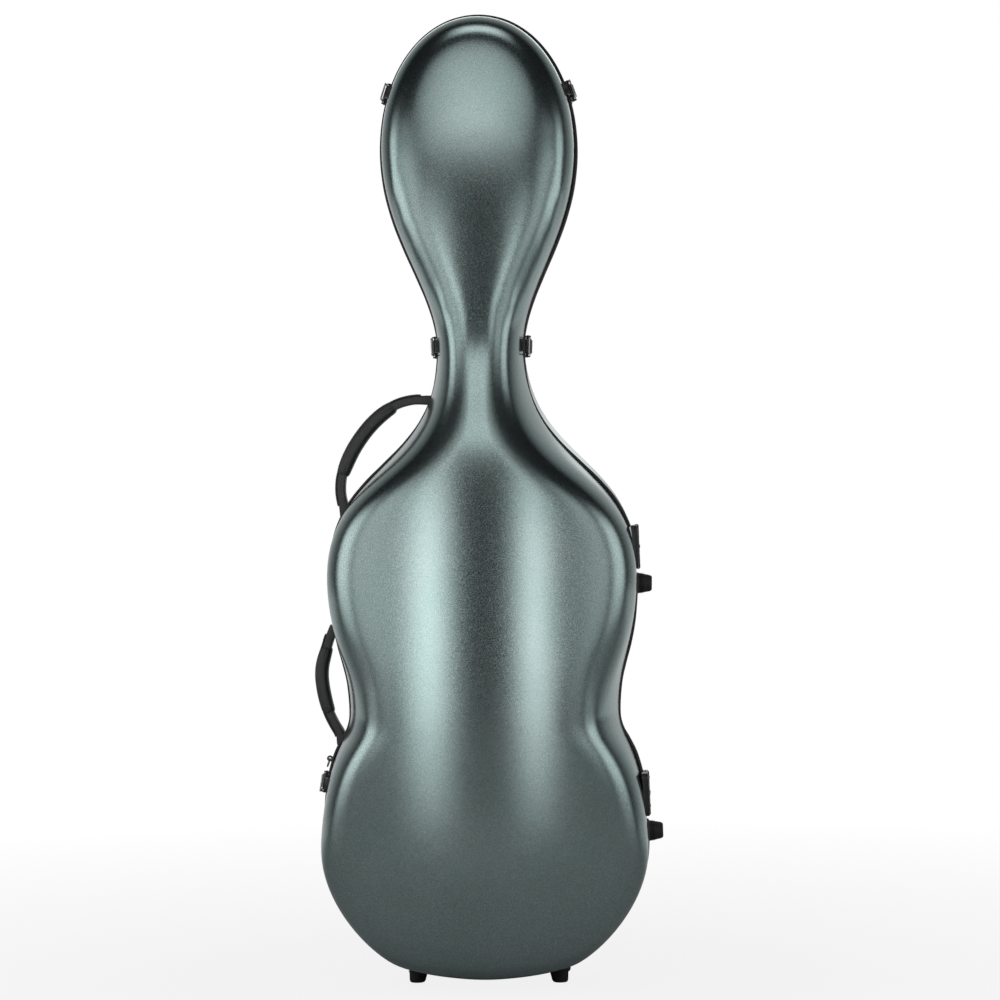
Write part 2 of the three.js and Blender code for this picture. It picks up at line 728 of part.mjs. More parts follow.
// A bent rod with mitred corners through a list of points.
function bentRod(points, radius, sides) {
  const first = new THREE.Vector3().subVectors(points[1], points[0]).normalize();
  const side = new THREE.Vector3().crossVectors(up, first).normalize();
  const rise = new THREE.Vector3().crossVectors(first, side);
  let ring = [];
  for (let i = 0; i < sides; i += 1) {
    const turn = (2 * Math.PI * i) / sides;
    ring.push(points[0].clone()
      .addScaledVector(side, radius * Math.cos(turn))
      .addScaledVector(rise, radius * Math.sin(turn)));
  }
  const rings = [ring];
  for (let i = 1; i < points.length; i += 1) {
    const along = new THREE.Vector3().subVectors(points[i], points[i - 1]).normalize();
    const next = points[Math.min(i + 1, points.length - 1)];
    const onward = i < points.length - 1
      ? new THREE.Vector3().subVectors(next, points[i]).normalize()
      : along;
    const mitre = new THREE.Vector3().addVectors(along, onward).normalize();
    ring = ring.map((point) => {
      const way = new THREE.Vector3().subVectors(points[i], point).dot(mitre) / along.dot(mitre);
      return point.clone().addScaledVector(along, way);
    });
    rings.push(ring);
  }
  const positions = rings.flatMap((row) => row.flatMap((point) => [point.x, point.y, point.z]));
  const indices = [];
  for (let r = 0; r < rings.length - 1; r += 1) {
    for (let i = 0; i < sides; i += 1) {
      const [a, b] = [r * sides + i, r * sides + (i + 1) % sides];
      indices.push(a, b, a + sides, b, b + sides, a + sides);
    }
  }
  const last = (rings.length - 1) * sides;
  for (let i = 1; i < sides - 1; i += 1) {
    indices.push(0, i + 1, i, last, last + i, last + i + 1);
  }
  return triangleMesh(positions, indices);
}

function latchBail() {
  const cheek = leverWidth / 2;
  const armOut = cheek + wireGap + wireRadius;
  const endIn = cheek - wireEntry;
  const bailAcross = pivotAcross + bailThrow;
  const bailAbove = pivotAbove + bailLift;
  return bentRod([
    new THREE.Vector3(-endIn, bailAcross, bailAbove),
    new THREE.Vector3(-armOut, bailAcross, bailAbove),
    new THREE.Vector3(-armOut, barAcross, barAbove),
    new THREE.Vector3(armOut, barAcross, barAbove),
    new THREE.Vector3(armOut, bailAcross, bailAbove),
    new THREE.Vector3(endIn, bailAcross, bailAbove),
  ], wireRadius, wireSides);
}

function latchKeeper(frame) {
  const hook = barAlongX([
    [-keeperNear, -seatDepth],
    [-keeperNear, keeperRise],
    [-lipNear, lipTop],
    [-lipFar, lipTop],
    [-lipFar + lipHollow, keeperRise + lipHollow],
    [-lipFar - lipHollow, keeperRise],
    [-keeperFar, keeperPlate],
    [-keeperFar, -seatDepth],
  ], keeperWidth);
  return solidOf(hook).subtract(inFrame(frame, lidOutside));
}

function addLatch(name, side, height) {
  const frame = wallFrame(side, height);
  addPiece(frame, `${name}_latch_base`, latchBase(frame), finishes.hardware);
  addPiece(frame, `${name}_latch_lever`, latchLever(), finishes.hardware);
  addPiece(frame, `${name}_latch_bail`, latchBail(), finishes.steel);
  addPiece(frame, `${name}_latch_keeper`, latchKeeper(frame), finishes.hardware);
}

const headLatchShare = 0.92101;
const neckLatchShare = 0.65574;
const lowerLatchShare = 0.1997;
const headLatchHeight = headLatchShare * caseLength;
const neckLatchHeight = neckLatchShare * caseLength;
const lowerLatchHeight = lowerLatchShare * caseLength;
addLatch('head_left', -1, headLatchHeight);
addLatch('head_right', 1, headLatchHeight);
addLatch('neck_left', -1, neckLatchHeight);
addLatch('neck_right', 1, neckLatchHeight);
addLatch('lower_left', -1, lowerLatchHeight);

// Small ring for a strap beside the lower latch: a plate with an ear, and the ring hanging in it.
const ringRadius = 6;
const ringWire = 1;
const ringPlateWidth = 14;
const ringSpacing = 9; // between its plate and the latch's
const ringAboveLatch = latchWidth / 2 + ringSpacing + ringPlateWidth / 2;
const ringPlateNear = 9.5;
const ringPlateFar = 27;
const ringPlateTop = 4;
const ringEarCentre = 18;
const ringEarThickness = 2.6;
const ringEarRadius = 4.2;
const ringHoleAbove = 8;
const ringPlay = 0.6;

function addStrapRing() {
  const frame = wallFrame(-1, lowerLatchHeight + ringAboveLatch);
  const plate = boxBetween(
    new THREE.Vector3(-ringPlateWidth / 2, ringPlateNear, -seatDepth),
    new THREE.Vector3(ringPlateWidth / 2, ringPlateFar, ringPlateTop),
  );
  const ear = new THREE.Shape();
  ear.moveTo(-ringEarRadius, 0);
  ear.lineTo(ringEarRadius, 0);
  ear.absarc(0, ringHoleAbove, ringEarRadius, 0, Math.PI, false);
  const curveSegments = 5;
  const earBar = new THREE.ExtrudeGeometry(ear, {
    depth: ringEarThickness, bevelEnabled: false, curveSegments,
  });
  earBar.rotateX(Math.PI / 2).translate(0, ringEarCentre + ringEarThickness / 2, 0);
  const hole = new THREE.CylinderGeometry(
    ringWire + ringPlay, ringWire + ringPlay, ringEarThickness + cutOverrun, pinSides,
  ).translate(0, ringEarCentre, ringHoleAbove);
  const bracket = joined(plate, earBar).subtract(solidOf(hole));
  addPiece(
    frame, 'strap_ring_bracket', bracket.subtract(inFrame(frame, backOutside)), finishes.hardware,
  );
  const ringSides = 6;
  const ringSteps = 20;
  const ring = new THREE.TorusGeometry(ringRadius, ringWire, ringSides, ringSteps);
  addPiece(
    frame, 'strap_ring', ring.translate(-ringRadius, ringEarCentre, ringHoleAbove), finishes.steel,
  );
}

addStrapRing();

// Handles: a stiff strap bowed out from the left wall, its two end tabs screwed to the back shell,
// and a padded leather grip round its middle. The lower one starts just above the strap ring. A row
// of a route gives the share of the way from the lower to the upper tab and the share of the reach.
const strapWidth = 22;
const strapThickness = 12;
const strapChamfer = 3;
const tabLength = 30;
const tabThickness = 8;
const tabChamfer = 3;
const handleSetback = 3;
const handleY = rimHeight + handleSetback + strapWidth / 2;
const gripWidth = 29;
const gripThickness = 21;
const gripSides = 12;
const gripSteps = 12;
const gripEndShare = 0.72; // how far the grip is drawn in at its ends
const gripSquareness = 0.75;
const upperHandleShares = [0.48286, 0.60209]; // of the case's length, to the middles of its tabs
const lowerHandleTopShare = 0.36066;
const lowerHandleSpacing = 5; // between its tab and the ring's plate
const ringPlateEnd = lowerLatchHeight + ringAboveLatch + ringPlateWidth / 2;
const lowerHandleLow = ringPlateEnd + lowerHandleSpacing + tabLength / 2;
const handles = [
  {
    name: 'upper_handle',
    ends: upperHandleShares.map((share) => share * caseLength),
    reach: 55,
    routeShares: [
      [0.03, 0.12], [0.15, 0.52], [0.28, 0.78], [0.44, 0.97], [0.66, 0.97], [0.87, 0.66], [0.97, 0.14],
    ],
    gripShares: [0.24, 0.78],
  },
  {
    name: 'lower_handle',
    ends: [lowerHandleLow, lowerHandleTopShare * caseLength],
    reach: 40,
    routeShares: [[0.04, 0.22], [0.23, 0.82], [0.42, 0.99], [0.7, 0.9], [0.95, 0.3]],
    gripShares: [0.25, 0.86],
  },
];

function handleCurve(handle) {
  const [low, high] = handle.ends;
  const points = handle.routeShares.map(([way, outShare]) => {
    const place = placeAtHeight(low + way * (high - low));
    const away = handle.reach * outShare;
    return new THREE.Vector3(-place.x - place.outX * away, handleY, place.z + place.outZ * away);
  });
  return new THREE.CatmullRomCurve3(points, false, 'centripetal');
}

// A solid along a flat curve. The section gives points across the case's depth and away from the wall.
function loftAlong(curve, from, to, steps, sectionAtShare) {
  const rings = [];
  for (let i = 0; i <= steps; i += 1) {
    const share = i / steps;
    const at = curve.getPointAt(from + (to - from) * share);
    const out = curve.getTangentAt(from + (to - from) * share).cross(rearward).normalize();
    rings.push(sectionAtShare(share).map(([depth, away]) => (
      at.clone().addScaledVector(rearward, depth).addScaledVector(out, away)
    )));
  }
  const count = rings[0].length;
  const positions = rings.flatMap((ring) => ring.flatMap((point) => [point.x, point.y, point.z]));
  const indices = [];
  for (let r = 0; r < steps; r += 1) {
    for (let i = 0; i < count; i += 1) {
      const [a, b] = [r * count + i, r * count + (i + 1) % count];
      indices.push(a, a + count, b, b, a + count, b + count);
    }
  }
  for (let i = 1; i < count - 1; i += 1) {
    const last = steps * count;
    indices.push(0, i, i + 1, last, last + i + 1, last + i);
  }
  return triangleMesh(positions, indices);
}

function strapSection(spare) {
  const [wide, thick] = [strapWidth / 2 + spare, strapThickness / 2 + spare];
  return [
    [-wide + strapChamfer, -thick], [-wide, -thick + strapChamfer],
    [-wide, thick - strapChamfer], [-wide + strapChamfer, thick],
    [wide - strapChamfer, thick], [wide, thick - strapChamfer],
    [wide, -thick + strapChamfer], [wide - strapChamfer, -thick],
  ];
}

// The grip's section is a rounded oblong that swells in the middle and is drawn in at its ends.
function gripSection(share) {
  const swell = 1 - (1 - gripEndShare) * (2 * share - 1) ** 6;
  const points = [];
  for (let i = 0; i < gripSides; i += 1) {
    const turn = Math.PI / gripSides - (2 * Math.PI * i) / gripSides;
    const squared = (value) => Math.sign(value) * Math.abs(value) ** gripSquareness;
    points.push([
      (gripWidth / 2) * swell * squared(Math.cos(turn)),
      (gripThickness / 2) * swell * squared(Math.sin(turn)),
    ]);
  }
  return points;
}

function handleTab(frame) {
  const [half, top] = [tabLength / 2, tabThickness];
  const [near, far] = [handleY - strapWidth / 2, handleY + strapWidth / 2];
  const shape = new THREE.Shape();
  [
    [-half, -seatDepth], [half, -seatDepth], [half, top - tabChamfer], [half - tabChamfer, top],
    [-half + tabChamfer, top], [-half, top - tabChamfer],
  ].forEach(([x, z], i) => (i === 0 ? shape.moveTo(x, z) : shape.lineTo(x, z)));
  const block = new THREE.ExtrudeGeometry(shape, { depth: far - near, bevelEnabled: false });
  return block.rotateX(Math.PI / 2).translate(0, far, 0).applyMatrix4(frame.matrix);
}

function addHandle(handle) {
  const curve = handleCurve(handle);
  const strapSteps = 14;
  const strap = loftAlong(curve, 0, 1, strapSteps, () => strapSection(0));
  const tabs = handle.ends.map((height) => handleTab(wallFrame(-1, height)));
  const core = joined(strap, ...tabs).subtract(solidOf(backOutside));
  addPiece(caseGroup, `${handle.name}_strap`, core, finishes.leather);
  const [from, to] = handle.gripShares;
  const grip = solidOf(loftAlong(curve, from, to, gripSteps, gripSection));
  const bore = solidOf(loftAlong(curve, 0, 1, strapSteps, () => strapSection(seatGap)));
  addPiece(caseGroup, `${handle.name}_grip`, grip.subtract(bore), finishes.leather);
}

handles.forEach(addHandle);

// Rubber feet and bumpers: tapered studs with a recessed screw seat, cut to the shell behind.
const studBase = 15.7;
const studTip = 10.8;
const studRound = 1.5;
const screwSeatRadius = 3.6;
const screwSeatDepth = 7;
const studSides = 14;

// A stud along Z, tip up, whose base starts a way below zero.
function stud(height, depth) {
  const flare = (studBase - studTip) / height;
  return new THREE.LatheGeometry([
    new THREE.Vector2(0, -depth),
    new THREE.Vector2(studBase + flare * depth, -depth),
    new THREE.Vector2(studTip + flare * studRound, height - studRound),
    new THREE.Vector2(studTip - studRound, height),
    new THREE.Vector2(screwSeatRadius, height),
    new THREE.Vector2(screwSeatRadius, height - screwSeatDepth),
    new THREE.Vector2(0, height - screwSeatDepth),
  ], studSides).rotateX(Math.PI / 2);
}

const bumperHeight = 22;
const bumperInset = 8; // from the rim to the bumper's edge
const bumperSetback = rimHeight + bumperInset + seatGap + studBase;
const bumperSpacing = 5.3; // between a bumper and the hinge over it

function addBumper(name, hingeShare) {
  const height = hingeShare * caseLength - hingeLength / 2 - bumperSpacing - studBase;
  const frame = wallFrame(1, height);
  const bumper = solidOf(moved(stud(bumperHeight, seatDepth), 0, bumperSetback, 0));
  addPiece(frame, name, bumper.subtract(inFrame(frame, backOutside)), finishes.rubber);
}

addBumper('upper_side_bumper', upperHingeShare);
addBumper('lower_side_bumper', lowerHingeShare);

// Four feet under the back shell. Their soles are level and each leans outwards.
const footStand = 16; // from the floor to the middle of the outline's bottom
const footSpanShare = 0.845; // of the span of the outline's bottom corners
const footSpan = footSpanShare * cornerSpan;
const footLean = 3;
const nearFootY = rimHeight + seatGap + studBase;
const farFootShare = 0.726; // of the back's depth
const farFootY = farFootShare * backDepth;

function addFoot(name, side, y) {
  const place = placeUnder(footSpan / 2);
  const height = footStand + place.z;
  const foot = stud(height, seatDepth).rotateX(Math.PI);
  const position = foot.attributes.position;
  for (let i = 0; i < position.count; i += 1) {
    position.setX(i, position.getX(i) - (side * footLean * position.getZ(i)) / height);
  }
  foot.translate(side * place.x, y, place.z);
  addPiece(caseGroup, name, solidOf(foot).subtract(solidOf(backOutside)), finishes.rubber);
}

addFoot('front_left_foot', -1, nearFootY);
addFoot('front_right_foot', 1, nearFootY);
addFoot('rear_left_foot', -1, farFootY);
addFoot('rear_right_foot', 1, farFootY);

// Two rubber runners on the back, on which the case lies while it is open.
const runnerSpanShare = 0.4646; // of the lower bout's width
const runnerSpan = runnerSpanShare * lowerBoutWidth;
const runnerWidth = 24;
const runnerEndShares = [0.11177, 0.43964]; // of the case's length
const [runnerLow, runnerHigh] = runnerEndShares.map((share) => share * caseLength);
const runnerProud = 7;
const runnerChamfer = 3;

function addRunner(name, side) {
  const face = faceRise(backShell, 0, lowerBoutHeight) + runnerProud;
  const [half, low] = [runnerWidth / 2, face - runnerProud - seatDepth];
  const shape = new THREE.Shape();
  [
    [-half, low], [half, low], [half, face - runnerChamfer], [half - runnerChamfer, face],
    [-half + runnerChamfer, face], [-half, face - runnerChamfer],
  ].forEach(([x, y], i) => (i === 0 ? shape.moveTo(x, y) : shape.lineTo(x, y)));
  const bar = new THREE.ExtrudeGeometry(shape, {
    depth: runnerHigh - runnerLow, bevelEnabled: false,
  });
  bar.translate((side * runnerSpan) / 2, 0, runnerLow);
  addPiece(caseGroup, name, solidOf(bar).subtract(solidOf(backOutside)), finishes.rubber);
}

addRunner('back_runner_left', -1);
addRunner('back_runner_right', 1);

// Inside the back shell: a neck cradle with its strap, a cushion under the lower end of the cello
// and four crowned pads at its sides.
const padStandoff = 4;
const padFront = landHeight + padStandoff; // nothing in the back stands nearer the joining plane
const cradleShare = 0.617; // of the case's length, to the middle of the cradle
const cradleLength = 44;
const cradleLow = cradleShare * caseLength - cradleLength / 2;
const cradleHigh = cradleLow + cradleLength;
const notchRadius = 25;
const notchFloorShare = 0.31; // of the back's depth
const notchFloor = notchFloorShare * backDepth;
const strapBandWidth = 34;
const strapBandThickness = 2.6;
const strapBandSpan = 160;
const notchSides = 20;

function addNeckCradle() {
  const block = boxBetween(
    new THREE.Vector3(-upperBoutWidth / 2, padFront, cradleLow),
    new THREE.Vector3(upperBoutWidth / 2, backDepth, cradleHigh),
  );
  const middle = (cradleLow + cradleHigh) / 2;
  const length = cradleHigh - cradleLow + 2 * cutOverrun;
  const round = new THREE.CylinderGeometry(notchRadius, notchRadius, length, notchSides)
    .rotateX(Math.PI / 2)
    .translate(0, notchFloor - notchRadius, middle);
  const mouth = boxBetween(
    new THREE.Vector3(-notchRadius, padFront - cutOverrun, cradleLow - cutOverrun),
    new THREE.Vector3(notchRadius, notchFloor - notchRadius, cradleHigh + cutOverrun),
  );
  const cradle = solidOf(block).subtract(joined(round, mouth)).intersect(backCavity);
  addPiece(caseGroup, 'neck_cradle', cradle, finishes.plush);
  const bandFace = padFront - seatGap;
  const band = boxBetween(
    new THREE.Vector3(-strapBandSpan / 2, bandFace - strapBandThickness, middle - strapBandWidth / 2),
    new THREE.Vector3(strapBandSpan / 2, bandFace, middle + strapBandWidth / 2),
  );
  addPiece(caseGroup, 'neck_strap', solidOf(band).intersect(backCavity), finishes.leather);
}

addNeckCradle();

const cushionHeight = 62;
const cushionHollowRadius = 250;
const cushionMiddle = 34; // height of its top in the middle
const cushionSpan = 300;
const spikeHoleRadius = 15;
const spikeHoleDepth = 18;
const spikeHoleShare = 0.4643; // of the back's depth
const spikeHoleY = spikeHoleShare * backDepth;
const hollowSides = 64;

function addEndCushion() {
  const block = boxBetween(
    new THREE.Vector3(-cushionSpan / 2, padFront, 0),
    new THREE.Vector3(cushionSpan / 2, backDepth, cushionHeight),
  );
  const hollow = new THREE.CylinderGeometry(
    cushionHollowRadius, cushionHollowRadius, backDepth + 2 * cutOverrun, hollowSides,
  ).translate(0, backDepth / 2, cushionMiddle + cushionHollowRadius);
  const spike = new THREE.CylinderGeometry(
    spikeHoleRadius, spikeHoleRadius, spikeHoleDepth + cushionHeight, notchSides,
  ).rotateX(Math.PI / 2)
    .translate(0, spikeHoleY, cushionMiddle - spikeHoleDepth + (spikeHoleDepth + cushionHeight) / 2);
  const cushion = solidOf(block).subtract(joined(hollow, spike)).intersect(backCavity);
  addPiece(caseGroup, 'end_cushion', cushion, finishes.plush);
}

addEndCushion();

const padThickness = 30;
const padLength = 150;
const padDepthShare = 0.595; // of the back's depth
const padDepth = padDepthShare * backDepth;
const padSteps = 16;
const padRows = 10;

function addSidePad(name, side, height) {
  const place = placeAtHeight(height);
  const inset = cavityInset;
  const pad = new THREE.SphereGeometry(1, padSteps, padRows)
    .scale(padThickness, padDepth / 2, padLength / 2)
    .translate(side * (place.x - place.outX * inset), padFront + padDepth / 2, place.z);
  addPiece(caseGroup, name, solidOf(pad).intersect(backCavity), finishes.plush);
}

addSidePad('upper_left_pad', -1, upperBoutHeight);
addSidePad('upper_right_pad', 1, upperBoutHeight);
addSidePad('lower_left_pad', -1, lowerBoutHeight);
addSidePad('lower_right_pad', 1, lowerBoutHeight);

// Inside the lid: for each of two bows a turning clip at the frog, and one holder for both tips.
const bowSpan = 52;
const clipHeightShare = 0.31297; // of the case's length
const clipHeight = clipHeightShare * caseLength;
const clipBossRadius = 8;
const clipBossRise = 16; // from the lining to the clip
const clipLength = 40;
const clipWidth = 13;
const clipThickness = 5;
const clipRound = 2;
const clipPinRadius = 2.5;
const clipPlay = 0.3;
const tipHolderShare = 0.82861; // of the case's length
const tipHolderLow = tipHolderShare * caseLength;
const tipHolderLength = 28;
const tipHolderHigh = tipHolderLow + tipHolderLength;
const tipHolderSpan = 96;
const tipHolderRise = 26;
const tipHoleRadius = 8;

function addBowClip(name, side) {
  const x = (side * bowSpan) / 2;
  const liningY = -(faceRise(lidShell, x, clipHeight) - cavityInset);
  const bossTop = liningY + clipBossRise;
  const bossLength = clipBossRise + seatDepth;
  const boss = new THREE.CylinderGeometry(clipBossRadius, clipBossRadius, bossLength, pinSides)
    .translate(x, bossTop - bossLength / 2, clipHeight);
  const pinLength = seatGap + clipThickness + seatGap;
  const pin = new THREE.CylinderGeometry(clipPinRadius, clipPinRadius, pinLength + cutOverrun, pinSides)
    .translate(x, bossTop + (pinLength - cutOverrun) / 2, clipHeight);
  addPiece(caseGroup, `${name}_base`, joined(boss, pin).intersect(lidCavity), finishes.plastic);
  const shape = new THREE.Shape();
  const endRadius = clipWidth / 2;
  const endCentre = clipLength / 2 - endRadius;
  shape.absarc(endCentre, 0, endRadius, -Math.PI / 2, Math.PI / 2, false);
  shape.absarc(-endCentre, 0, endRadius, Math.PI / 2, Math.PI * 1.5, false);
  const curveSegments = 6;
  const clip = new THREE.ExtrudeGeometry(shape, {
    depth: clipThickness, bevelEnabled: false, curveSegments,
  }).rotateX(Math.PI / 2).translate(x, bossTop + seatGap + clipThickness, clipHeight);
  const bore = new THREE.CylinderGeometry(
    clipPinRadius + clipPlay, clipPinRadius + clipPlay, clipThickness + cutOverrun, pinSides,
  ).translate(x, bossTop + seatGap + clipThickness / 2, clipHeight);
  addPiece(caseGroup, name, solidOf(clip).subtract(solidOf(bore)), finishes.plastic);
}

addBowClip('bow_clip_left', -1);
addBowClip('bow_clip_right', 1);

function addTipHolder() {
  const middle = (tipHolderLow + tipHolderHigh) / 2;
  const liningY = -(faceRise(lidShell, 0, middle) - cavityInset);
  const block = boxBetween(
    new THREE.Vector3(-tipHolderSpan / 2, liningY - seatDepth, tipHolderLow),
    new THREE.Vector3(tipHolderSpan / 2, liningY + tipHolderRise, tipHolderHigh),
  );
  const holes = [-1, 1].map((side) => new THREE.CylinderGeometry(
    tipHoleRadius, tipHoleRadius, tipHolderHigh - tipHolderLow + cutOverrun, pinSides,
  ).rotateX(Math.PI / 2).translate((side * bowSpan) / 2, liningY + tipHolderRise / 2, middle));
  const holder = solidOf(block).subtract(joined(...holes)).intersect(lidCavity);
  addPiece(caseGroup, 'bow_tip_holder', holder, finishes.plush);
}

addTipHolder();

// Accessory box in the head of the back shell, with a drop-down lid on two stub pins.
const boxSpanShare = 0.4265; // of the head's width
const boxSpan = boxSpanShare * headWidth;
const boxEndShares = [0.89419, 0.94486]; // of the case's length
const [boxLow, boxHigh] = boxEndShares.map((share) => share * caseLength);
const boxWall = 3;
const boxFloorShare = 0.357; // of the back's depth
const boxFloor = boxFloorShare * backDepth;
const boxLidThickness = 3;
const boxHingeRadius = 2.6;
const boxPinRadius = 1.2;
const boxHingeLength = 64;
const boxLugLength = 8;
const boxPinLength = 5;
const boxPlay = 0.3;
const boxTabWidth = 22;
const boxTabRise = 6;

function addAccessoryBox() {
  const half = boxSpan / 2;
  const outer = boxBetween(
    new THREE.Vector3(-half, padFront, boxLow),
    new THREE.Vector3(half, backDepth, boxHigh),
  );
  const inner = boxBetween(
    new THREE.Vector3(-half + boxWall, padFront - cutOverrun, boxLow + boxWall),
    new THREE.Vector3(half - boxWall, boxFloor, boxHigh - boxWall),
  );
  const hingeZ = boxLow - boxHingeRadius - boxPlay;
  const hingeY = padFront - boxPlay - boxHingeRadius;
  const lugCentre = boxHingeLength / 2 + boxPlay + boxLugLength / 2;
  const pinRoot = 2; // how far a stub pin is rooted in its lug
  const pinCentre = boxHingeLength / 2 + boxPlay + pinRoot - (boxPinLength + pinRoot) / 2;
  const fittings = [-1, 1].flatMap((side) => [
    rodAlongX(boxHingeRadius, boxLugLength, hingeY, hingeZ, pinSides)
      .translate(side * lugCentre, 0, 0),
    boxBetween(
      new THREE.Vector3(-boxLugLength / 2, hingeY, hingeZ - boxHingeRadius),
      new THREE.Vector3(boxLugLength / 2, padFront + boxWall / 2, boxLow + boxWall / 2),
    ).translate(side * lugCentre, 0, 0),
    rodAlongX(boxPinRadius, boxPinLength + pinRoot, hingeY, hingeZ, pinSides)
      .translate(side * pinCentre, 0, 0),
  ]);
  const box = solidOf(outer).subtract(solidOf(inner)).intersect(backCavity);
  addPiece(caseGroup, 'accessory_box', box.add(joined(...fittings)), finishes.plastic);

  const lidFace = padFront - boxPlay;
  const lugTop = boxLow + boxWall / 2;
  const plate = boxBetween(
    new THREE.Vector3(-half, lidFace - boxLidThickness, lugTop + boxPlay),
    new THREE.Vector3(half, lidFace, boxHigh),
  );
  const web = boxBetween(
    new THREE.Vector3(-boxHingeLength / 2, lidFace - boxLidThickness, hingeZ),
    new THREE.Vector3(boxHingeLength / 2, lidFace, boxLow + boxWall),
  );
  const barrel = rodAlongX(boxHingeRadius, boxHingeLength, hingeY, hingeZ, pinSides);
  const tab = boxBetween(
    new THREE.Vector3(-boxTabWidth / 2, lidFace - boxLidThickness, boxHigh - boxWall),
    new THREE.Vector3(boxTabWidth / 2, lidFace, boxHigh + boxTabRise),
  );
  const bore = rodAlongX(
    boxPinRadius + boxPlay, boxHingeLength + cutOverrun, hingeY, hingeZ, pinSides,
  );
  const lid = joined(plate, web, barrel, tab).subtract(solidOf(bore));
  addPiece(caseGroup, 'accessory_box_lid', lid, finishes.plastic);
}

addAccessoryBox();

// The origin lies under the middle of the whole case, on the floor.
caseGroup.updateMatrixWorld(true);
const bounds = new THREE.Box3().setFromObject(caseGroup);
caseGroup.position.set(
  -(bounds.min.x + bounds.max.x) / 2,
  -(bounds.min.y + bounds.max.y) / 2,
  -bounds.min.z,
);

export default caseGroup;
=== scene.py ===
import bisect
import json
import math

import bmesh
import bpy
from mathutils import Matrix, Vector
from mathutils.bvhtree import BVHTree


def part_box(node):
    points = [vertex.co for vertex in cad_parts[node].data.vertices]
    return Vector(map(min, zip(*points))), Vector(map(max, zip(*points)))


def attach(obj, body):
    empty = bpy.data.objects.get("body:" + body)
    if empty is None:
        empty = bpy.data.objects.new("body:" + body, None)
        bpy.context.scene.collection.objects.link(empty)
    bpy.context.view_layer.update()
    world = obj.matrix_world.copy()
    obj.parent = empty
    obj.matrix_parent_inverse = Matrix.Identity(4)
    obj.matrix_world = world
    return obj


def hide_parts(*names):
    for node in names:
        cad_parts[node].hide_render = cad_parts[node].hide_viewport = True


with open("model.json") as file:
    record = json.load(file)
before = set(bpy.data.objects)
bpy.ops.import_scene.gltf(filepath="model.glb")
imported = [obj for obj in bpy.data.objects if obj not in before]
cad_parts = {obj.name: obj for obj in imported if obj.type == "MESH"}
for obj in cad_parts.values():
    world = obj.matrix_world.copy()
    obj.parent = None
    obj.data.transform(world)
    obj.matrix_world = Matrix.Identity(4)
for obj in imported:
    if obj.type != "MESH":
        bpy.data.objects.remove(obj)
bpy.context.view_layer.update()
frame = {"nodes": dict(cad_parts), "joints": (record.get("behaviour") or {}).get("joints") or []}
joint_rows = {row["name"]: row for row in frame["joints"]}
mm = 0.001


# Shells. The lid and the back are each moulded in one piece and sprayed with a satin metallic
# paint, a grey-green with a fine speckle that stands slightly out of the surface.
# What paints and the other finishes are mixed from comes first.
def add_node(tree, kind, **settings):
    node = tree.nodes.new(f"ShaderNode{kind}")
    for name, value in settings.items():
        setattr(node, name, value)
    return node


def set_inputs(node, **values):
    for name, value in values.items():
        node.inputs[name.replace("_", " ")].default_value = value
    return node


def feed(tree, given, socket):
    """Gives an input its value, which is another node's output or a constant."""
    if isinstance(given, bpy.types.NodeSocket):
        tree.links.new(given, socket)
    else:
        socket.default_value = given


def join(tree, *links):
    """Links nodes; each link is a node and its output, then a node and its input."""
    for source, output, taker, entry in links:
        tree.links.new(source.outputs[output], taker.inputs[entry])


def texture_of(tree, kind, values, **settings):
    """A texture laid over the piece by the piece's own coordinates."""
    texture = set_inputs(add_node(tree, f"Tex{kind}", **settings), **values)
    join(tree, (add_node(tree, "TexCoord"), "Object", texture, "Vector"))
    return texture


def math_of(tree, operation, *given):
    node = add_node(tree, "Math", operation=operation)
    for value, socket in zip(given, node.inputs):
        feed(tree, value, socket)
    return node.outputs["Value"]


def ramp_between(tree, factor, low, high, start=0.0, end=1.0):
    """A colour that goes from low to high as the factor goes from start to end."""
    ramp = add_node(tree, "ValToRGB")
    for stop, place, colour in zip(ramp.color_ramp.elements, (start, end), (low, high)):
        stop.position = place
        stop.color = (*colour, 1.0)
    feed(tree, factor, ramp.inputs["Fac"])
    return ramp.outputs["Color"]


def range_between(tree, factor, low, high, start=0.0, end=1.0):
    """A value that goes from low to high as the factor goes from start to end."""
    node = add_node(tree, "MapRange")
    set_inputs(node, From_Min=start, From_Max=end, To_Min=low, To_Max=high)
    feed(tree, factor, node.inputs["Value"])
    return node.outputs["Result"]


def mixed_of(tree, first, second, factor, **settings):
    """Two colours mixed by a factor."""
    node = add_node(tree, "Mix", data_type="RGBA", **settings)
    for entry, given in (("A", first), ("B", second), ("Factor", factor)):
        feed(tree, given, node.inputs[entry])
    return node.outputs["Result"]


def new_group(name, inputs, outputs):
    """A node group with float sockets: inputs by name and default value, outputs by name."""
    tree = bpy.data.node_groups.new(name, "ShaderNodeTree")
    for socket, value in inputs.items():
        entry = tree.interface.new_socket(socket, in_out="INPUT", socket_type="NodeSocketFloat")
        entry.default_value = value
    for socket in outputs:
        tree.interface.new_socket(socket, in_out="OUTPUT", socket_type="NodeSocketFloat")
    return tree, tree.nodes.new("NodeGroupInput"), tree.nodes.new("NodeGroupOutput")


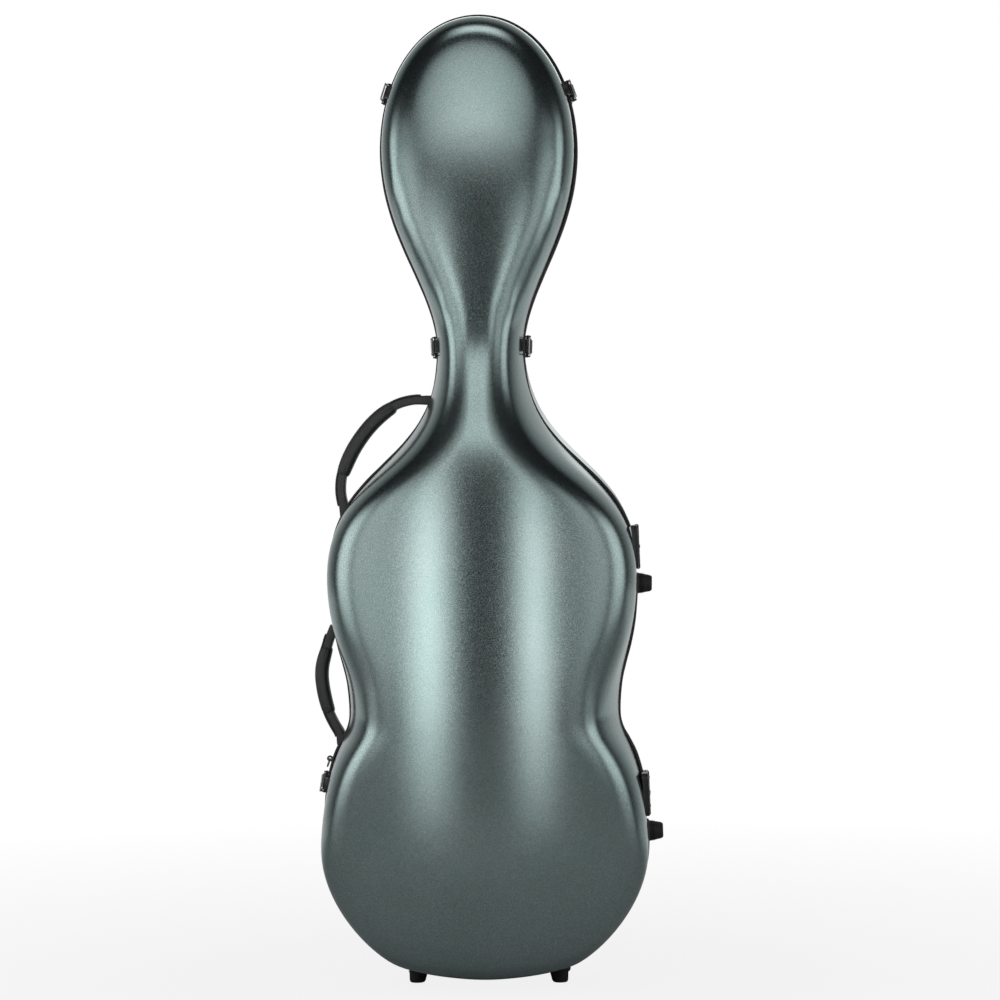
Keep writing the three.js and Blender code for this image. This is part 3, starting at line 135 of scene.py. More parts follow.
def make_grain_group():
    """Fine grain in the surface: cells with soft edges over an uneven ground."""
    tree, given, out = new_group(
        "fine_grain", {"Scale": 900.0, "Cells": 0.5}, ["Grain", "Cloud"],
    )
    fine = texture_of(tree, "Noise", {"Detail": 2.0, "Roughness": 0.6})
    cells = texture_of(tree, "Voronoi", {"Smoothness": 0.4}, feature="SMOOTH_F1")
    cloud = texture_of(tree, "Noise", {"Scale": 9.0, "Detail": 3.0, "Roughness": 0.55})
    mix = add_node(tree, "Mix", data_type="FLOAT")
    join(
        tree, (given, "Scale", fine, "Scale"), (given, "Scale", cells, "Scale"),
        (given, "Cells", mix, "Factor"), (fine, "Fac", mix, "A"), (cells, "Distance", mix, "B"),
        (mix, "Result", out, "Grain"), (cloud, "Fac", out, "Cloud"),
    )
    return tree


grain_group = make_grain_group()


class Finish:
    """A material whose colour, roughness and bump follow its own textures."""

    def __init__(self, name, **sockets):
        self.material = bpy.data.materials.new(name)
        self.material.use_nodes = True
        self.tree = self.material.node_tree
        self.shader = set_inputs(self.tree.nodes["Principled BSDF"], **sockets)

    def group(self, group, **values):
        return set_inputs(add_node(self.tree, "Group", node_tree=group), **values).outputs

    def grain(self, scale, cells):
        return self.group(grain_group, Scale=scale, Cells=cells)

    def colour(self, factor, low, high, start=0.35, end=0.7):
        self.base(ramp_between(self.tree, factor, low, high, start, end))

    def base(self, colour):
        feed(self.tree, colour, self.shader.inputs["Base Color"])

    def product(self, *ramps):
        """The base colour as the product of two ramps."""
        first, second = (ramp_between(self.tree, *ramp) for ramp in ramps)
        self.base(mixed_of(self.tree, first, second, 1.0, blend_type="MULTIPLY"))

    def dull(self, factor, low, high, start=0.3, end=0.7):
        roughness = range_between(self.tree, factor, low, high, start, end)
        feed(self.tree, roughness, self.shader.inputs["Roughness"])

    def bump(self, height, strength, distance):
        bump = set_inputs(add_node(self.tree, "Bump"), Strength=strength, Distance=distance)
        feed(self.tree, height, bump.inputs["Height"])
        join(self.tree, (bump, "Normal", self.shader, "Normal"))


shell_paint = Finish("shell_paint", Metallic=0.98, IOR=1.5, Coat_Weight=0.05, Coat_Roughness=0.2)
speck = shell_paint.grain(760.0, 0.35)["Grain"]
cloud = shell_paint.grain(420.0, 0.5)["Cloud"]
shell_paint.product(
    (speck, (0.19, 0.255, 0.25), (0.385, 0.475, 0.468), 0.30, 0.66),
    (cloud, (0.90, 0.95, 0.94), (1.0, 1.0, 1.0), 0.35, 0.65),
)
shell_paint.dull(speck, 0.16, 0.25)
shell_paint.bump(speck, 0.05, 0.0004)


def merged_copy(node):
    """A CAD node's mesh with its loose triangles sewn together."""
    made = bmesh.new()
    made.from_mesh(frame["nodes"][node].data)
    bmesh.ops.remove_doubles(made, verts=made.verts, dist=0.02 * mm)
    return made


def crease_sharp(made, angle):
    crease = made.edges.layers.float.new("crease_edge")
    for edge in made.edges:
        if len(edge.link_faces) == 2 and edge.calc_face_angle() > angle:
            edge[crease] = 1.0


smooth_below = math.radians(40)


def finish_piece(made, name, finish, body, replaced=None):
    """Turns a bmesh into a piece of the case that rides on a body and dresses a solid."""
    for face in made.faces:
        face.smooth = True
    mesh = bpy.data.meshes.new(name)
    made.to_mesh(mesh)
    made.free()
    mesh.set_sharp_from_angle(angle=smooth_below)
    mesh.materials.append(finish.material)
    piece = bpy.data.objects.new(name, mesh)
    bpy.context.collection.objects.link(piece)
    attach(piece, body)
    if replaced:
        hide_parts(replaced)
    return piece


def smoothed(piece, levels):
    rounding = piece.modifiers.new("smooth", "SUBSURF")
    rounding.levels = rounding.render_levels = levels
    return piece


def smooth_copy(node, name, finish, body, levels):
    """A solid's own form in quads, smoothed between the edges that are sharp."""
    made = merged_copy(node)
    bmesh.ops.join_triangles(
        made, faces=made.faces, angle_face_threshold=math.pi, angle_shape_threshold=math.pi,
    )
    crease_sharp(made, math.radians(60))
    return smoothed(finish_piece(made, name, finish, body, node), levels)


for node, body in (("lid_shell", "lid"), ("back_shell", "back")):
    smooth_copy(node, f"{node}_moulded", shell_paint, body, 2)


# Rims. Each shell's edge is pushed into a black extruded channel with a rounded bead outside, and
# the lid's has a tongue that enters the back. Where a hinge crosses them, both beads are cut away.
seam = joint_rows["lid_hinge"]["pos_m"][1]


def edge_loop_of(node):
    """The outermost loop of points on a shell's edge, in order, as X and Z."""
    made = merged_copy(node)
    nearest = min(abs(vert.co.y - seam) for vert in made.verts)
    on_edge = {vert for vert in made.verts if abs(vert.co.y - seam) < nearest + 0.05 * mm}
    links = {}
    for edge in made.edges:
        if not all(vert in on_edge for vert in edge.verts):
            continue
        if any(abs(face.normal.y) < 0.5 for face in edge.link_faces):
            first, second = edge.verts
            links.setdefault(first, []).append(second)
            links.setdefault(second, []).append(first)
    loops = []
    left = set(links)
    while left:
        start = min(left, key=lambda vert: (vert.co.z, vert.co.x))
        left.remove(start)
        walk = [start]
        while True:
            onward = [vert for vert in links[walk[-1]] if vert in left]
            if not onward:
                break
            walk.append(onward[0])
            left.discard(onward[0])
        loops.append([(vert.co.x, vert.co.z) for vert in walk])
    made.free()

    def reach(points):
        return sum(map(math.dist, points, points[1:] + points[:1]))

    outer = max(loops, key=reach)
    area = sum(a[0] * b[1] - b[0] * a[1] for a, b in zip(outer[-1:] + outer, outer))
    return outer if area > 0 else outer[::-1]


def spline_spot(a, b, c, d, t):
    """A point a share t of the way from b to c on the smooth curve through all four."""
    return 0.5 * (
        2 * b + (c - a) * t + (2 * a - 5 * b + 4 * c - d) * t ** 2
        + (3 * b - a - 3 * c + d) * t ** 3
    )


class RoundLine:
    """A smooth closed line through points, walked by its length."""

    def __init__(self, points, steps):
        count = len(points)
        self.points = []
        for i in range(count):
            near = [Vector(points[(i + k) % count]) for k in (-1, 0, 1, 2)]
            self.points += [spline_spot(*near, step / steps) for step in range(steps)]
        self.ways = [0.0]
        for spot, onward in zip(self.points, self.points[1:] + self.points[:1]):
            self.ways.append(self.ways[-1] + (onward - spot).length)
        self.length = self.ways[-1]

    def at(self, way):
        """The point and the outward direction at a length along the line."""
        way %= self.length
        low = min(bisect.bisect_right(self.ways, way) - 1, len(self.ways) - 2)
        high = low + 1
        count = len(self.points)
        start, end = self.points[low % count], self.points[(low + 1) % count]
        share = (way - self.ways[low]) / max(self.ways[high] - self.ways[low], 1e-9)
        along = (self.points[(low + 2) % count] - self.points[low - 1]).normalized()
        return start.lerp(end, share), Vector((along.y, -along.x))

    def nearest_way(self, x, z):
        target = Vector((x, z))
        best = min(range(len(self.points)), key=lambda i: (self.points[i] - target).length)
        return self.ways[best]


def pull_section(made, rings, closed):
    """Extrudes a closed section from place to place; each ring lists the section's points there."""
    count = len(rings[0])
    verts = [made.verts.new(point) for point in rings[0]]
    first = verts
    edges = [made.edges.new((verts[i], verts[(i + 1) % count])) for i in range(count)]
    for ring in rings[1:]:
        grown = bmesh.ops.extrude_edge_only(made, edges=edges)["geom"]
        fresh = {part for part in grown if isinstance(part, bmesh.types.BMVert)}
        verts = [
            next(far for edge in vert.link_edges if (far := edge.other_vert(vert)) in fresh)
            for vert in verts
        ]
        for vert, point in zip(verts, ring):
            vert.co = point
        edges = [made.edges.get((verts[i], verts[(i + 1) % count])) for i in range(count)]
    if closed:
        for i in range(count):
            made.faces.new((verts[i], verts[(i + 1) % count], first[(i + 1) % count], first[i]))
    else:
        made.faces.new(first)
        made.faces.new(verts[::-1])
    bmesh.ops.recalc_face_normals(made, faces=made.faces)
    return made


rim_rubber = Finish("rim_rubber")
grain = rim_rubber.grain(1600.0, 0.2)
rim_rubber.colour(grain["Cloud"], (0.010, 0.010, 0.011), (0.026, 0.027, 0.027), 0.4, 0.75)
rim_rubber.dull(grain["Cloud"], 0.42, 0.62)
rim_rubber.bump(grain["Grain"], 0.12, 0.0002)
land_line = RoundLine(edge_loop_of("lid_shell"), 6)
wall = 2.5
rim_step = 5.0 * mm
bead_points = [
    (0.2, 8.3), (1.4, 8.25), (2.3, 7.8), (2.85, 6.9), (3.0, 5.4), (3.0, 3.0),
    (2.85, 1.5), (2.3, 0.6), (1.3, 0.2),
]
rim_sections = {
    "lid_rim": bead_points + [
        (-wall - 2.5, 0.2), (-wall - 2.5, -3.4), (-wall - 3.0, -4.0), (-wall - 4.0, -4.0),
        (-wall - 4.5, -3.4), (-wall - 4.5, 7.4), (-wall - 4.0, 8.0), (-wall - 0.3, 8.0),
        (-wall - 0.3, 2.4), (-0.2, 2.4),
    ],
    "back_rim": bead_points + [
        (-wall - 1.5, 0.2), (-wall - 1.9, 0.6), (-wall - 1.9, 7.4), (-wall - 1.4, 8.0),
        (-wall - 0.3, 8.0), (-wall - 0.3, 2.4), (-0.2, 2.4),
    ],
}
notch_reach = 32.4 * mm
notch_slope = 0.8 * mm
notch_tuck = 0.25


def hinge_centre(name):
    low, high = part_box(f"{name}_pin")
    return (low + high) / 2


def hinge_way(name):
    centre = hinge_centre(name)
    return land_line.nearest_way(centre.x, centre.z)


hinge_ways = [hinge_way(name) for name in ("upper_hinge", "lower_hinge")]


def rim_places():
    """Lengths along the edge with how far the bead stands there: 1 whole, 0 cut away."""
    places = []
    for i in range(int(land_line.length / rim_step)):
        way = i * rim_step
        away = min(abs(way - hinge) for hinge in hinge_ways)
        if abs(away - notch_reach) > rim_step * 0.4:
            places.append((way, 1.0 if away > notch_reach else 0.0))
    for hinge in hinge_ways:
        for side in (-1, 1):
            places.append((hinge + side * (notch_reach + notch_slope), 1.0))
            places.append((hinge + side * notch_reach, 0.0))
    return sorted(places)


for node, body, facing in (("lid_rim", "lid", -1), ("back_rim", "back", 1)):
    rings = []
    for way, whole in rim_places():
        middle, out = land_line.at(way)
        ring = []
        for across, rise in rim_sections[node]:
            stand = across if across < 0 else across * whole - notch_tuck * (1 - whole)
            spot = middle + out * stand * mm
            ring.append((spot.x, seam + facing * rise * mm, spot.y))
        rings.append(ring)
    made = pull_section(bmesh.new(), rings, closed=True)
    crease_sharp(made, math.radians(50))
    finish_piece(made, f"{node}_channel", rim_rubber, body, node)


# Linings. Foam is bonded inside each shell and covered with a short-pile dark plush; a welt of the
# same plush is sewn round its edge, just inside the rim.
plush = Finish(
    "dark_plush", Sheen_Weight=0.55, Sheen_Roughness=0.4, Sheen_Tint=(0.55, 0.62, 0.64, 1),
)
pile = plush.grain(1500.0, 0.3)["Grain"]
nap = texture_of(
    plush.tree, "Noise", {"Scale": 26.0, "Detail": 4.0, "Roughness": 0.6, "Distortion": 0.6},
).outputs["Fac"]
plush.product(
    (nap, (0.072, 0.080, 0.086), (0.108, 0.118, 0.124), 0.30, 0.70),
    (pile, (0.62, 0.62, 0.62), (1.0, 1.0, 1.0), 0.3, 0.7),
)
plush.dull(nap, 0.88, 0.99)
plush.bump(pile, 0.5, 0.0008)
welt_radius = 2.0 * mm
welt_inset = 2.6 * mm
welt_lift = 0.6 * mm
welt_step = 6 * mm


def turns(count):
    return [2 * math.pi * k / count for k in range(count)]


for node, body, facing in (("lid_lining", "lid", -1), ("back_lining", "back", 1)):
    smooth_copy(node, f"{node}_plush", plush, body, 1)
    line = RoundLine(edge_loop_of(node), 4)
    low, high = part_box(node)
    rise = (low.y if facing > 0 else high.y) + facing * welt_lift
    rings = []
    for i in range(int(line.length / welt_step)):
        middle, out = line.at(i * welt_step)
        ring = []
        for turn in turns(8):
            spot = middle + out * (welt_radius * math.cos(turn) - welt_inset)
            ring.append((spot.x, rise + welt_radius * math.sin(turn), spot.y))
        rings.append(ring)
    made = pull_section(bmesh.new(), rings, closed=True)
    finish_piece(made, f"{node}_welt", plush, body)


# Hinges. Two stamped leaves of black painted steel, riveted through the shells, turn on a steel pin
# with riveted-over heads. The plates follow the line of the two bouts, just outside the rims.
def make_wear_group():
    """Wear along sharp edges: a mask that is 1 where the surface turns within the width."""
    tree, given, out = new_group("edge_wear", {"Width": 0.0012, "Breakup": 260.0}, ["Wear"])
    round_off = add_node(tree, "Bevel", samples=4)
    dot = add_node(tree, "VectorMath", operation="DOT_PRODUCT")
    patches = texture_of(tree, "Noise", {"Detail": 4.0, "Roughness": 0.7})
    join(
        tree, (given, "Width", round_off, "Radius"), (round_off, "Normal", dot, 0),
        (add_node(tree, "NewGeometry"), "True Normal", dot, 1),
        (given, "Breakup", patches, "Scale"),
    )
    turned = range_between(tree, dot.outputs["Value"], 0.0, 1.0, 0.995, 0.9)
    broken = range_between(tree, patches.outputs["Fac"], 0.0, 1.0, 0.42, 0.62)
    feed(tree, math_of(tree, "MULTIPLY", turned, broken), out.inputs["Wear"])
    return tree


black_metal = Finish("black_metal", Metallic=0.55, Coat_Weight=0.1)
tree = black_metal.tree
grain = black_metal.grain(1300.0, 0.3)
wear = black_metal.group(make_wear_group(), Width=0.0009, Breakup=240.0)["Wear"]
coat = ramp_between(tree, grain["Cloud"], (0.014, 0.0145, 0.015), (0.028, 0.029, 0.030), 0.35, 0.7)
worn = range_between(tree, wear, 0.0, 0.5)
black_metal.base(mixed_of(tree, coat, (0.22, 0.22, 0.225, 1), worn))
black_metal.dull(grain["Cloud"], 0.30, 0.46)
black_metal.bump(grain["Grain"], 0.10, 0.0002)

bare_steel = Finish("bare_steel", Metallic=1.0)
brushed = texture_of(
    bare_steel.tree, "Noise", {"Scale": 700.0, "Detail": 3.0, "Roughness": 0.6},
).outputs["Fac"]
cloud = bare_steel.grain(60.0, 0.2)["Cloud"]
bare_steel.colour(cloud, (0.42, 0.425, 0.43), (0.60, 0.605, 0.61), 0.35, 0.65)
bare_steel.dull(brushed, 0.20, 0.36)
bare_steel.bump(brushed, 0.08, 0.0002)


def once(parts):
    """Each part once, in the order given, so that every run makes the same mesh."""
    return list(dict.fromkeys(parts))


def bar_of(made, outline, low, high, width=0.0, segments=2):
    """Extrudes an outline, drawn in Y and Z, from low to high along X and rounds its edges."""
    start = [made.verts.new((low, y, z)) for y, z in outline]
    face = made.faces.new(start)
    grown = bmesh.ops.extrude_face_region(made, geom=[face])["geom"]
    fresh = [part for part in grown if isinstance(part, bmesh.types.BMVert)]
    bmesh.ops.translate(made, verts=fresh, vec=(high - low, 0, 0))
    faces = once(near for vert in start + fresh for near in vert.link_faces)
    bmesh.ops.recalc_face_normals(made, faces=faces)
    if width:
        edges = once(edge for near in faces for edge in near.edges)
        sharp = [edge for edge in edges if edge.calc_face_angle() > math.radians(25)]
        bmesh.ops.bevel(
            made, geom=sharp, offset=width, segments=segments, profile=0.5, affect="EDGES",
            clamp_overlap=True, material=-1,
        )
    return made


def arc(cy, cz, radius, start, end, steps):
    turns = [math.radians(start + (end - start) * i / steps) for i in range(steps + 1)]
    return [(cy + radius * math.cos(turn), cz + radius * math.sin(turn)) for turn in turns]


def rod_of(made, y, z, radius, low, high, width=0.2, sides=28):
    return bar_of(made, arc(y, z, radius, 0, 360 - 360 / sides, sides - 1), low, high, width)


def turned_of(made, profile, matrix, sides=28):
    """A piece turned on a lathe: profile gives radius and height, the matrix its place."""
    before = set(made.verts)
    line = [made.verts.new((radius, 0, height)) for radius, height in profile]
    edges = [made.edges.new(pair) for pair in zip(line, line[1:])]
    bmesh.ops.spin(
        made, geom=line + edges, cent=(0, 0, 0), axis=(0, 0, 1), angle=2 * math.pi, steps=sides,
        use_merge=True,
    )
    fresh = [vert for vert in made.verts if vert not in before]
    bmesh.ops.remove_doubles(made, verts=fresh, dist=1e-4)
    fresh = [vert for vert in fresh if vert.is_valid]
    faces = once(face for vert in fresh for face in vert.link_faces)
    bmesh.ops.recalc_face_normals(made, faces=faces)
    bmesh.ops.transform(made, verts=fresh, matrix=matrix)
    return made


def head_on(made, radius, height, place, sides=16):
    """A domed rivet or screw head, placed by a matrix or by the point that it sits on."""
    dome = [(0, 1), (0.35, 0.96), (0.62, 0.82), (0.84, 0.52), (0.97, 0.2), (1, 0)]
    profile = [(across * radius, rise * height) for across, rise in dome]
    matrix = place if isinstance(place, Matrix) else Matrix.Translation(place)
    turned_of(made, profile + [(radius, -0.6), (0, -0.6)], matrix, sides)


def facing_side(side, x, y, z):
    """The place of a head that looks out along X on one side."""
    return Matrix.Translation((side * x, y, z)) @ Matrix.Rotation(side * math.pi / 2, 4, "Y")


def row_matrix(origin, along):
    """From a fitting's own millimetres to the case: X along the edge, Y to the back, Z outwards."""
    x = Vector(along).normalized()
    y = Vector((0, 1, 0))
    z = x.cross(y)
    turn = Matrix((x, y, z)).transposed().to_4x4()
    return Matrix.Translation(Vector(origin)) @ turn @ Matrix.Scale(mm, 4)


def place_all(made, matrix):
    bmesh.ops.transform(made, verts=made.verts, matrix=matrix)
    return made


hinge_half = 30.0
leaf_set, leaf_end = 4.3, 32.0
leaf_corner = 6.0
leaf_thick = 2.6
knuckle = 3.2
middle_half = 10.0
leaf_rivets = [(-20.0, 22.0), (20.0, 22.0), (0.0, 13.0)]
leaf_stations = [-30, -29.2, -27.6, -25, -22, -16, -8, 0, 8, 16, 22, 25, 27.6, 29.2, 30]
leaf_root = -6.0


def shell_sag(name, matrix):
    """How far the shell's edge falls away from a straight hinge at each end of it, in mm."""
    inverse = matrix.inverted()

    def rise(away):
        spot = land_line.at(hinge_way(name) + away)[0]
        return (inverse @ Vector((spot.x, seam, spot.y))).z

    return rise(0) - (rise(-hinge_half * mm) + rise(hinge_half * mm)) / 2


def bent_leaf(made, facing, sag):
    """A leaf with rounded corners that follows the shell's curve along the hinge."""
    rings = []
    for x in leaf_stations:
        beyond = max(0.0, abs(x) - (hinge_half - leaf_corner))
        end = leaf_end - leaf_corner + math.sqrt(max(0.0, leaf_corner ** 2 - beyond ** 2))
        fall = sag * (x / hinge_half) ** 2
        top = leaf_thick - (0.5 if abs(x) > 29.5 else 0.0) - fall
        outline = [
            (leaf_set, leaf_root - fall), (end, leaf_root - fall), (end, top - 0.6),
            (end - 0.2, top - 0.2), (end - 0.7, top), (leaf_set + 0.7, top),
            (leaf_set + 0.2, top - 0.2), (leaf_set, top - 0.6),
        ]
        rings.append([(x, facing * y, z) for y, z in outline])
    return pull_section(made, rings, closed=False)


outer_spans = [(-hinge_half, -middle_half - 0.3), (middle_half + 0.3, hinge_half)]
for hinge in ("upper_hinge", "lower_hinge"):
    matrix = row_matrix(hinge_centre(hinge), -Vector(joint_rows["lid_hinge"]["axis"]))
    sag = shell_sag(hinge, matrix)
    for leaf, body, facing, spans in (
        ("back_leaf", "back", 1, outer_spans),
        ("lid_leaf", "lid", -1, [(-middle_half, middle_half)]),
    ):
        made = bent_leaf(bmesh.new(), facing, sag)
        web_end = facing * (leaf_set + 0.8)
        web = [(0, -knuckle), (web_end, -knuckle), (web_end, 0.8), (0, 1.6)]
        for low, high in spans:
            rod_of(made, 0, 0, knuckle, low, high, 0.35)
            bar_of(made, web, low + 0.2, high - 0.2, 0.2)
        for x, y in leaf_rivets:
            head_on(made, 3.0, 1.3, (x, facing * y, leaf_thick - sag * (x / hinge_half) ** 2), 20)
        place_all(made, matrix)
        node = f"{hinge}_{leaf}"
        finish_piece(made, f"{node}_stamped", black_metal, body, node)
    made = rod_of(bmesh.new(), 0, 0, 1.5, -hinge_half - 0.4, hinge_half + 0.4, 0.2)
    for side in (-1, 1):
        head_on(made, 2.6, 1.4, facing_side(side, hinge_half + 0.3, 0, 0), 20)
    place_all(made, matrix)
    finish_piece(made, f"{hinge}_pin_riveted", bare_steel, "back", f"{hinge}_pin")


# Draw latches. A stamped base with two ears holds a curled lever on a cross pin. The lever carries
# a bent steel wire, whose bar lies behind the lip of a keeper riveted to the lid.
pivot_y, pivot_z = 14.0, 6.5
throw_y, throw_z = 24.0, 10.1
deck = 3.4
lever_half = 9.4
wire_radius = 1.2
wire_arm = lever_half + 0.6 + wire_radius


def rounded_path(corners, radius, steps):
    """A path through corners, each rounded off to a radius."""
    path = [Vector(corners[0])]
    for before, corner, after in zip(corners, corners[1:], corners[2:]):
        before, corner, after = Vector(before), Vector(corner), Vector(after)
        into, onward = (before - corner).normalized(), (after - corner).normalized()
        start, end = corner + into * radius, corner + onward * radius
        for step in range(steps + 1):
            t = step / steps
            path.append((1 - t) ** 2 * start + 2 * t * (1 - t) * corner + t ** 2 * end)
    path.append(Vector(corners[-1]))
    return path


def wire_of(made, path, radius, sides):
    """A round wire along a path, turned as little as possible on the way."""
    along = (path[1] - path[0]).normalized()
    across = along.orthogonal().normalized()
    rings = []
    for i, spot in enumerate(path):
        before, after = path[max(i - 1, 0)], path[min(i + 1, len(path) - 1)]
        onward = (after - before).normalized()
        across = (across - onward * across.dot(onward)).normalized()
        rise = onward.cross(across)
        rings.append([
            spot + radius * (across * math.cos(turn) + rise * math.sin(turn))
            for turn in turns(sides)
        ])
    return pull_section(made, rings, closed=False)


def latch_base():
    made = bmesh.new()
    plate = [(9.0, -9.0), (41.0, -9.0), (41.0, deck - 0.9), (40.1, deck), (9.0, deck)]
    bar_of(made, plate, -15, 15, 0.4)
    ear = [(10.5, 0.0), (18.5, 0.0), (18.5, 7.4)] + arc(14.5, 6.8, 4.0, 8, 172, 8) + [(10.5, 7.4)]
    for low, high in ((-15, -13), (13, 15)):
        bar_of(made, ear, low, high, 0.3)
    for side in (-1, 1):
        head_on(made, 2.0, 0.8, facing_side(side, 15.0, pivot_y, pivot_z))
        head_on(made, 2.4, 1.0, (side * 11.4, 36.6, deck), 20)
    return made


def latch_lever():
    made = bmesh.new()
    lean = math.degrees(math.atan2(throw_z - pivot_z, throw_y - pivot_y))
    outline = arc(pivot_y, pivot_z, 2.8, 90 + lean, 270, 8)
    outline += [(throw_y, 3.5), (45.0, 3.5), (47.8, 4.6), (49.5, 6.8), (48.9, 8.6), (47.9, 9.0)]
    outline += [(46.6, 7.4), (44.8, 6.3), (42.0, 5.9), (30.0, 5.9), (28.2, 6.6)]
    outline += arc(throw_y, throw_z, 2.5, -20, 90 + lean, 8)
    bar_of(made, outline, -lever_half, lever_half, 0.55, 3)
    for x in (-5.2, 0.0, 5.2):
        rib = [(31.5, 5.0), (42.5, 5.0), (42.0, 6.5), (41.0, 6.9), (33.0, 6.9), (32.0, 6.5)]
        bar_of(made, rib, x - 0.9, x + 0.9, 0.35)
    rod_of(made, pivot_y, pivot_z, 1.5, -14.8, 14.8, 0.2, 20)
    return made


def latch_bail():
    end, bar_y, bar_z = lever_half - 3.2, -13.6, 9.7
    corners = [
        (-end, throw_y, throw_z), (-wire_arm, throw_y, throw_z), (-wire_arm, bar_y, bar_z),
        (wire_arm, bar_y, bar_z), (wire_arm, throw_y, throw_z), (end, throw_y, throw_z),
    ]
    return wire_of(bmesh.new(), rounded_path(corners, 1.9, 5), wire_radius, 14)


def latch_keeper():
    made = bmesh.new()
    outline = [
        (-8.7, -9.0), (-8.7, 3.0), (-9.3, 5.0), (-10.4, 6.6), (-11.8, 7.3), (-14.0, 7.3),
        (-14.8, 6.9), (-14.7, 6.1), (-13.8, 5.4), (-13.5, 4.6), (-14.4, 3.8), (-16.1, 3.4),
        (-24.2, 4.6), (-25.0, 4.0), (-25.0, -9.0),
    ]
    bar_of(made, outline, -8.5, 8.5, 0.35)
    for side in (-1, 1):
        head_on(made, 1.9, 0.8, (side * 4.6, -20.4, 4.05))
    return made


def matrix_through(spot, along, y, z):
    """The place of a fitting whose own point at y and z lies on a pivot."""
    matrix = row_matrix((0, 0, 0), along)
    return Matrix.Translation(spot - matrix @ Vector((0, y, z))) @ matrix


for latch in ("head_left", "head_right", "neck_left", "neck_right", "lower_left"):
    row = joint_rows[f"{latch}_lever_pivot"]
    matrix = matrix_through(Vector(row["pos_m"]), row["axis"], pivot_y, pivot_z)
    for part, shape, finish, body, slot in (
        ("base", latch_base, black_metal, "back", "hardware"),
        ("lever", latch_lever, black_metal, f"{latch}_lever", "hardware"),
        ("bail", latch_bail, bare_steel, f"{latch}_bail", "steel"),
        ("keeper", latch_keeper, black_metal, "lid", "hardware"),
    ):
        node = f"{latch}_latch_{part}"
        finish_piece(place_all(shape(), matrix), f"{node}_stamped", finish, body, node)


# Strap ring. A small welded steel ring hangs in the ear of a riveted bracket above the lower latch,
# for a shoulder strap's hook.
ring_radius, ring_wire = 6.0, 1.0
ear_y, ear_z = 18.0, 8.0
ring_pivot = Vector(joint_rows["strap_ring_swing"]["pos_m"])
low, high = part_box("strap_ring")
along = ring_pivot - (low + high) / 2
along.y = 0
matrix = matrix_through(ring_pivot, along, ear_y, ear_z)

made = bmesh.new()
bar_of(made, [(9.5, -9.0), (27.0, -9.0), (27.0, 3.3), (26.3, 4.0), (9.5, 4.0)], -7, 7, 0.5)
bar_of(made, [(16.7, 2.0), (19.3, 2.0), (19.3, 5.4), (16.7, 5.4)], -4.1, 4.1, 0.3)
eye = [
    (1.7, 0.9), (2.0, 1.3), (3.7, 1.3), (4.2, 0.8), (4.2, -0.8), (3.7, -1.3), (2.0, -1.3),
    (1.7, -0.9), (1.7, 0.9),
]
upright = Matrix.Translation((0, ear_y, ear_z)) @ Matrix.Rotation(math.pi / 2, 4, "X")
turned_of(made, eye, upright, 32)
for rivet_y in (12.8, 23.4):
    head_on(made, 1.8, 0.8, (0, rivet_y, 4.0))
place_all(made, matrix)
finish_piece(
    made, "strap_ring_bracket_stamped", black_metal, "back", "strap_ring_bracket",
)

centre = Vector((-ring_radius, ear_y, ear_z))
rings = []
for around in turns(40):
    out = Vector((math.cos(around), math.sin(around), 0))
    rings.append([
        centre + (ring_radius + ring_wire * math.cos(turn)) * out
        + Vector((0, 0, ring_wire * math.sin(turn)))
        for turn in turns(12)
    ])
made = place_all(pull_section(bmesh.new(), rings, closed=True), matrix)
finish_piece(made, "strap_ring_welded", bare_steel, "strap_ring", "strap_ring")


# Handles. Each is a stiff strap of two black leather layers over a springy core, bowed out from the
# wall and screwed to it at both ends, with a padded leather grip sewn round its middle.
leather = Finish("black_leather", Coat_Weight=0.18, Coat_Roughness=0.4)
pebble = texture_of(
    leather.tree, "Voronoi", {"Scale": 620.0, "Randomness": 0.9}, feature="DISTANCE_TO_EDGE",
)
cloud = leather.grain(1500.0, 0.1)["Cloud"]
leather.colour(cloud, (0.013, 0.0135, 0.014), (0.030, 0.0305, 0.031))
leather.dull(cloud, 0.36, 0.50)
creases = range_between(leather.tree, pebble.outputs["Distance"], 0.0, 1.0, 0.0, 0.22)
leather.bump(creases, 0.35, 0.0003)

thread = Finish("black_thread", Sheen_Weight=0.3)
twist = thread.grain(2600.0, 0.2)["Grain"]
thread.colour(twist, (0.02, 0.02, 0.021), (0.06, 0.06, 0.062), 0.3, 0.7)
thread.dull(twist, 0.55, 0.8)


def open_line(points, steps):
    """A smooth open line at even lengths: each point, the way outwards and the way along."""
    ends = [2 * points[0] - points[1]] + points + [2 * points[-1] - points[-2]]
    fine = []
    for near in zip(ends, ends[1:], ends[2:], ends[3:]):
        fine += [spline_spot(*near, k / 12) for k in range(12)]
    fine.append(points[-1])
    ways = [0.0]
    for before, after in zip(fine, fine[1:]):
        ways.append(ways[-1] + (after - before).length)
    line, low = [], 0
    for i in range(steps + 1):
        wanted = ways[-1] * i / steps
        while low < len(ways) - 2 and ways[low + 1] < wanted:
            low += 1
        share = (wanted - ways[low]) / (ways[low + 1] - ways[low])
        spot = fine[low].lerp(fine[low + 1], share)
        along = (fine[low + 1] - fine[low]).normalized()
        line.append((spot, Vector((-along.z, 0, along.x)), along))
    return line, ways[-1]


def rounded_section(half_wide, half_thick, corner, steps=4):
    """An oblong with rounded corners, as points across the case's depth and away from the wall."""
    points = []
    for side_wide, side_thick, start in ((1, 1, 0), (-1, 1, 90), (-1, -1, 180), (1, -1, 270)):
        points += arc(
            side_wide * (half_wide - corner), side_thick * (half_thick - corner), corner,
            start, start + 90, steps,
        )
    return points


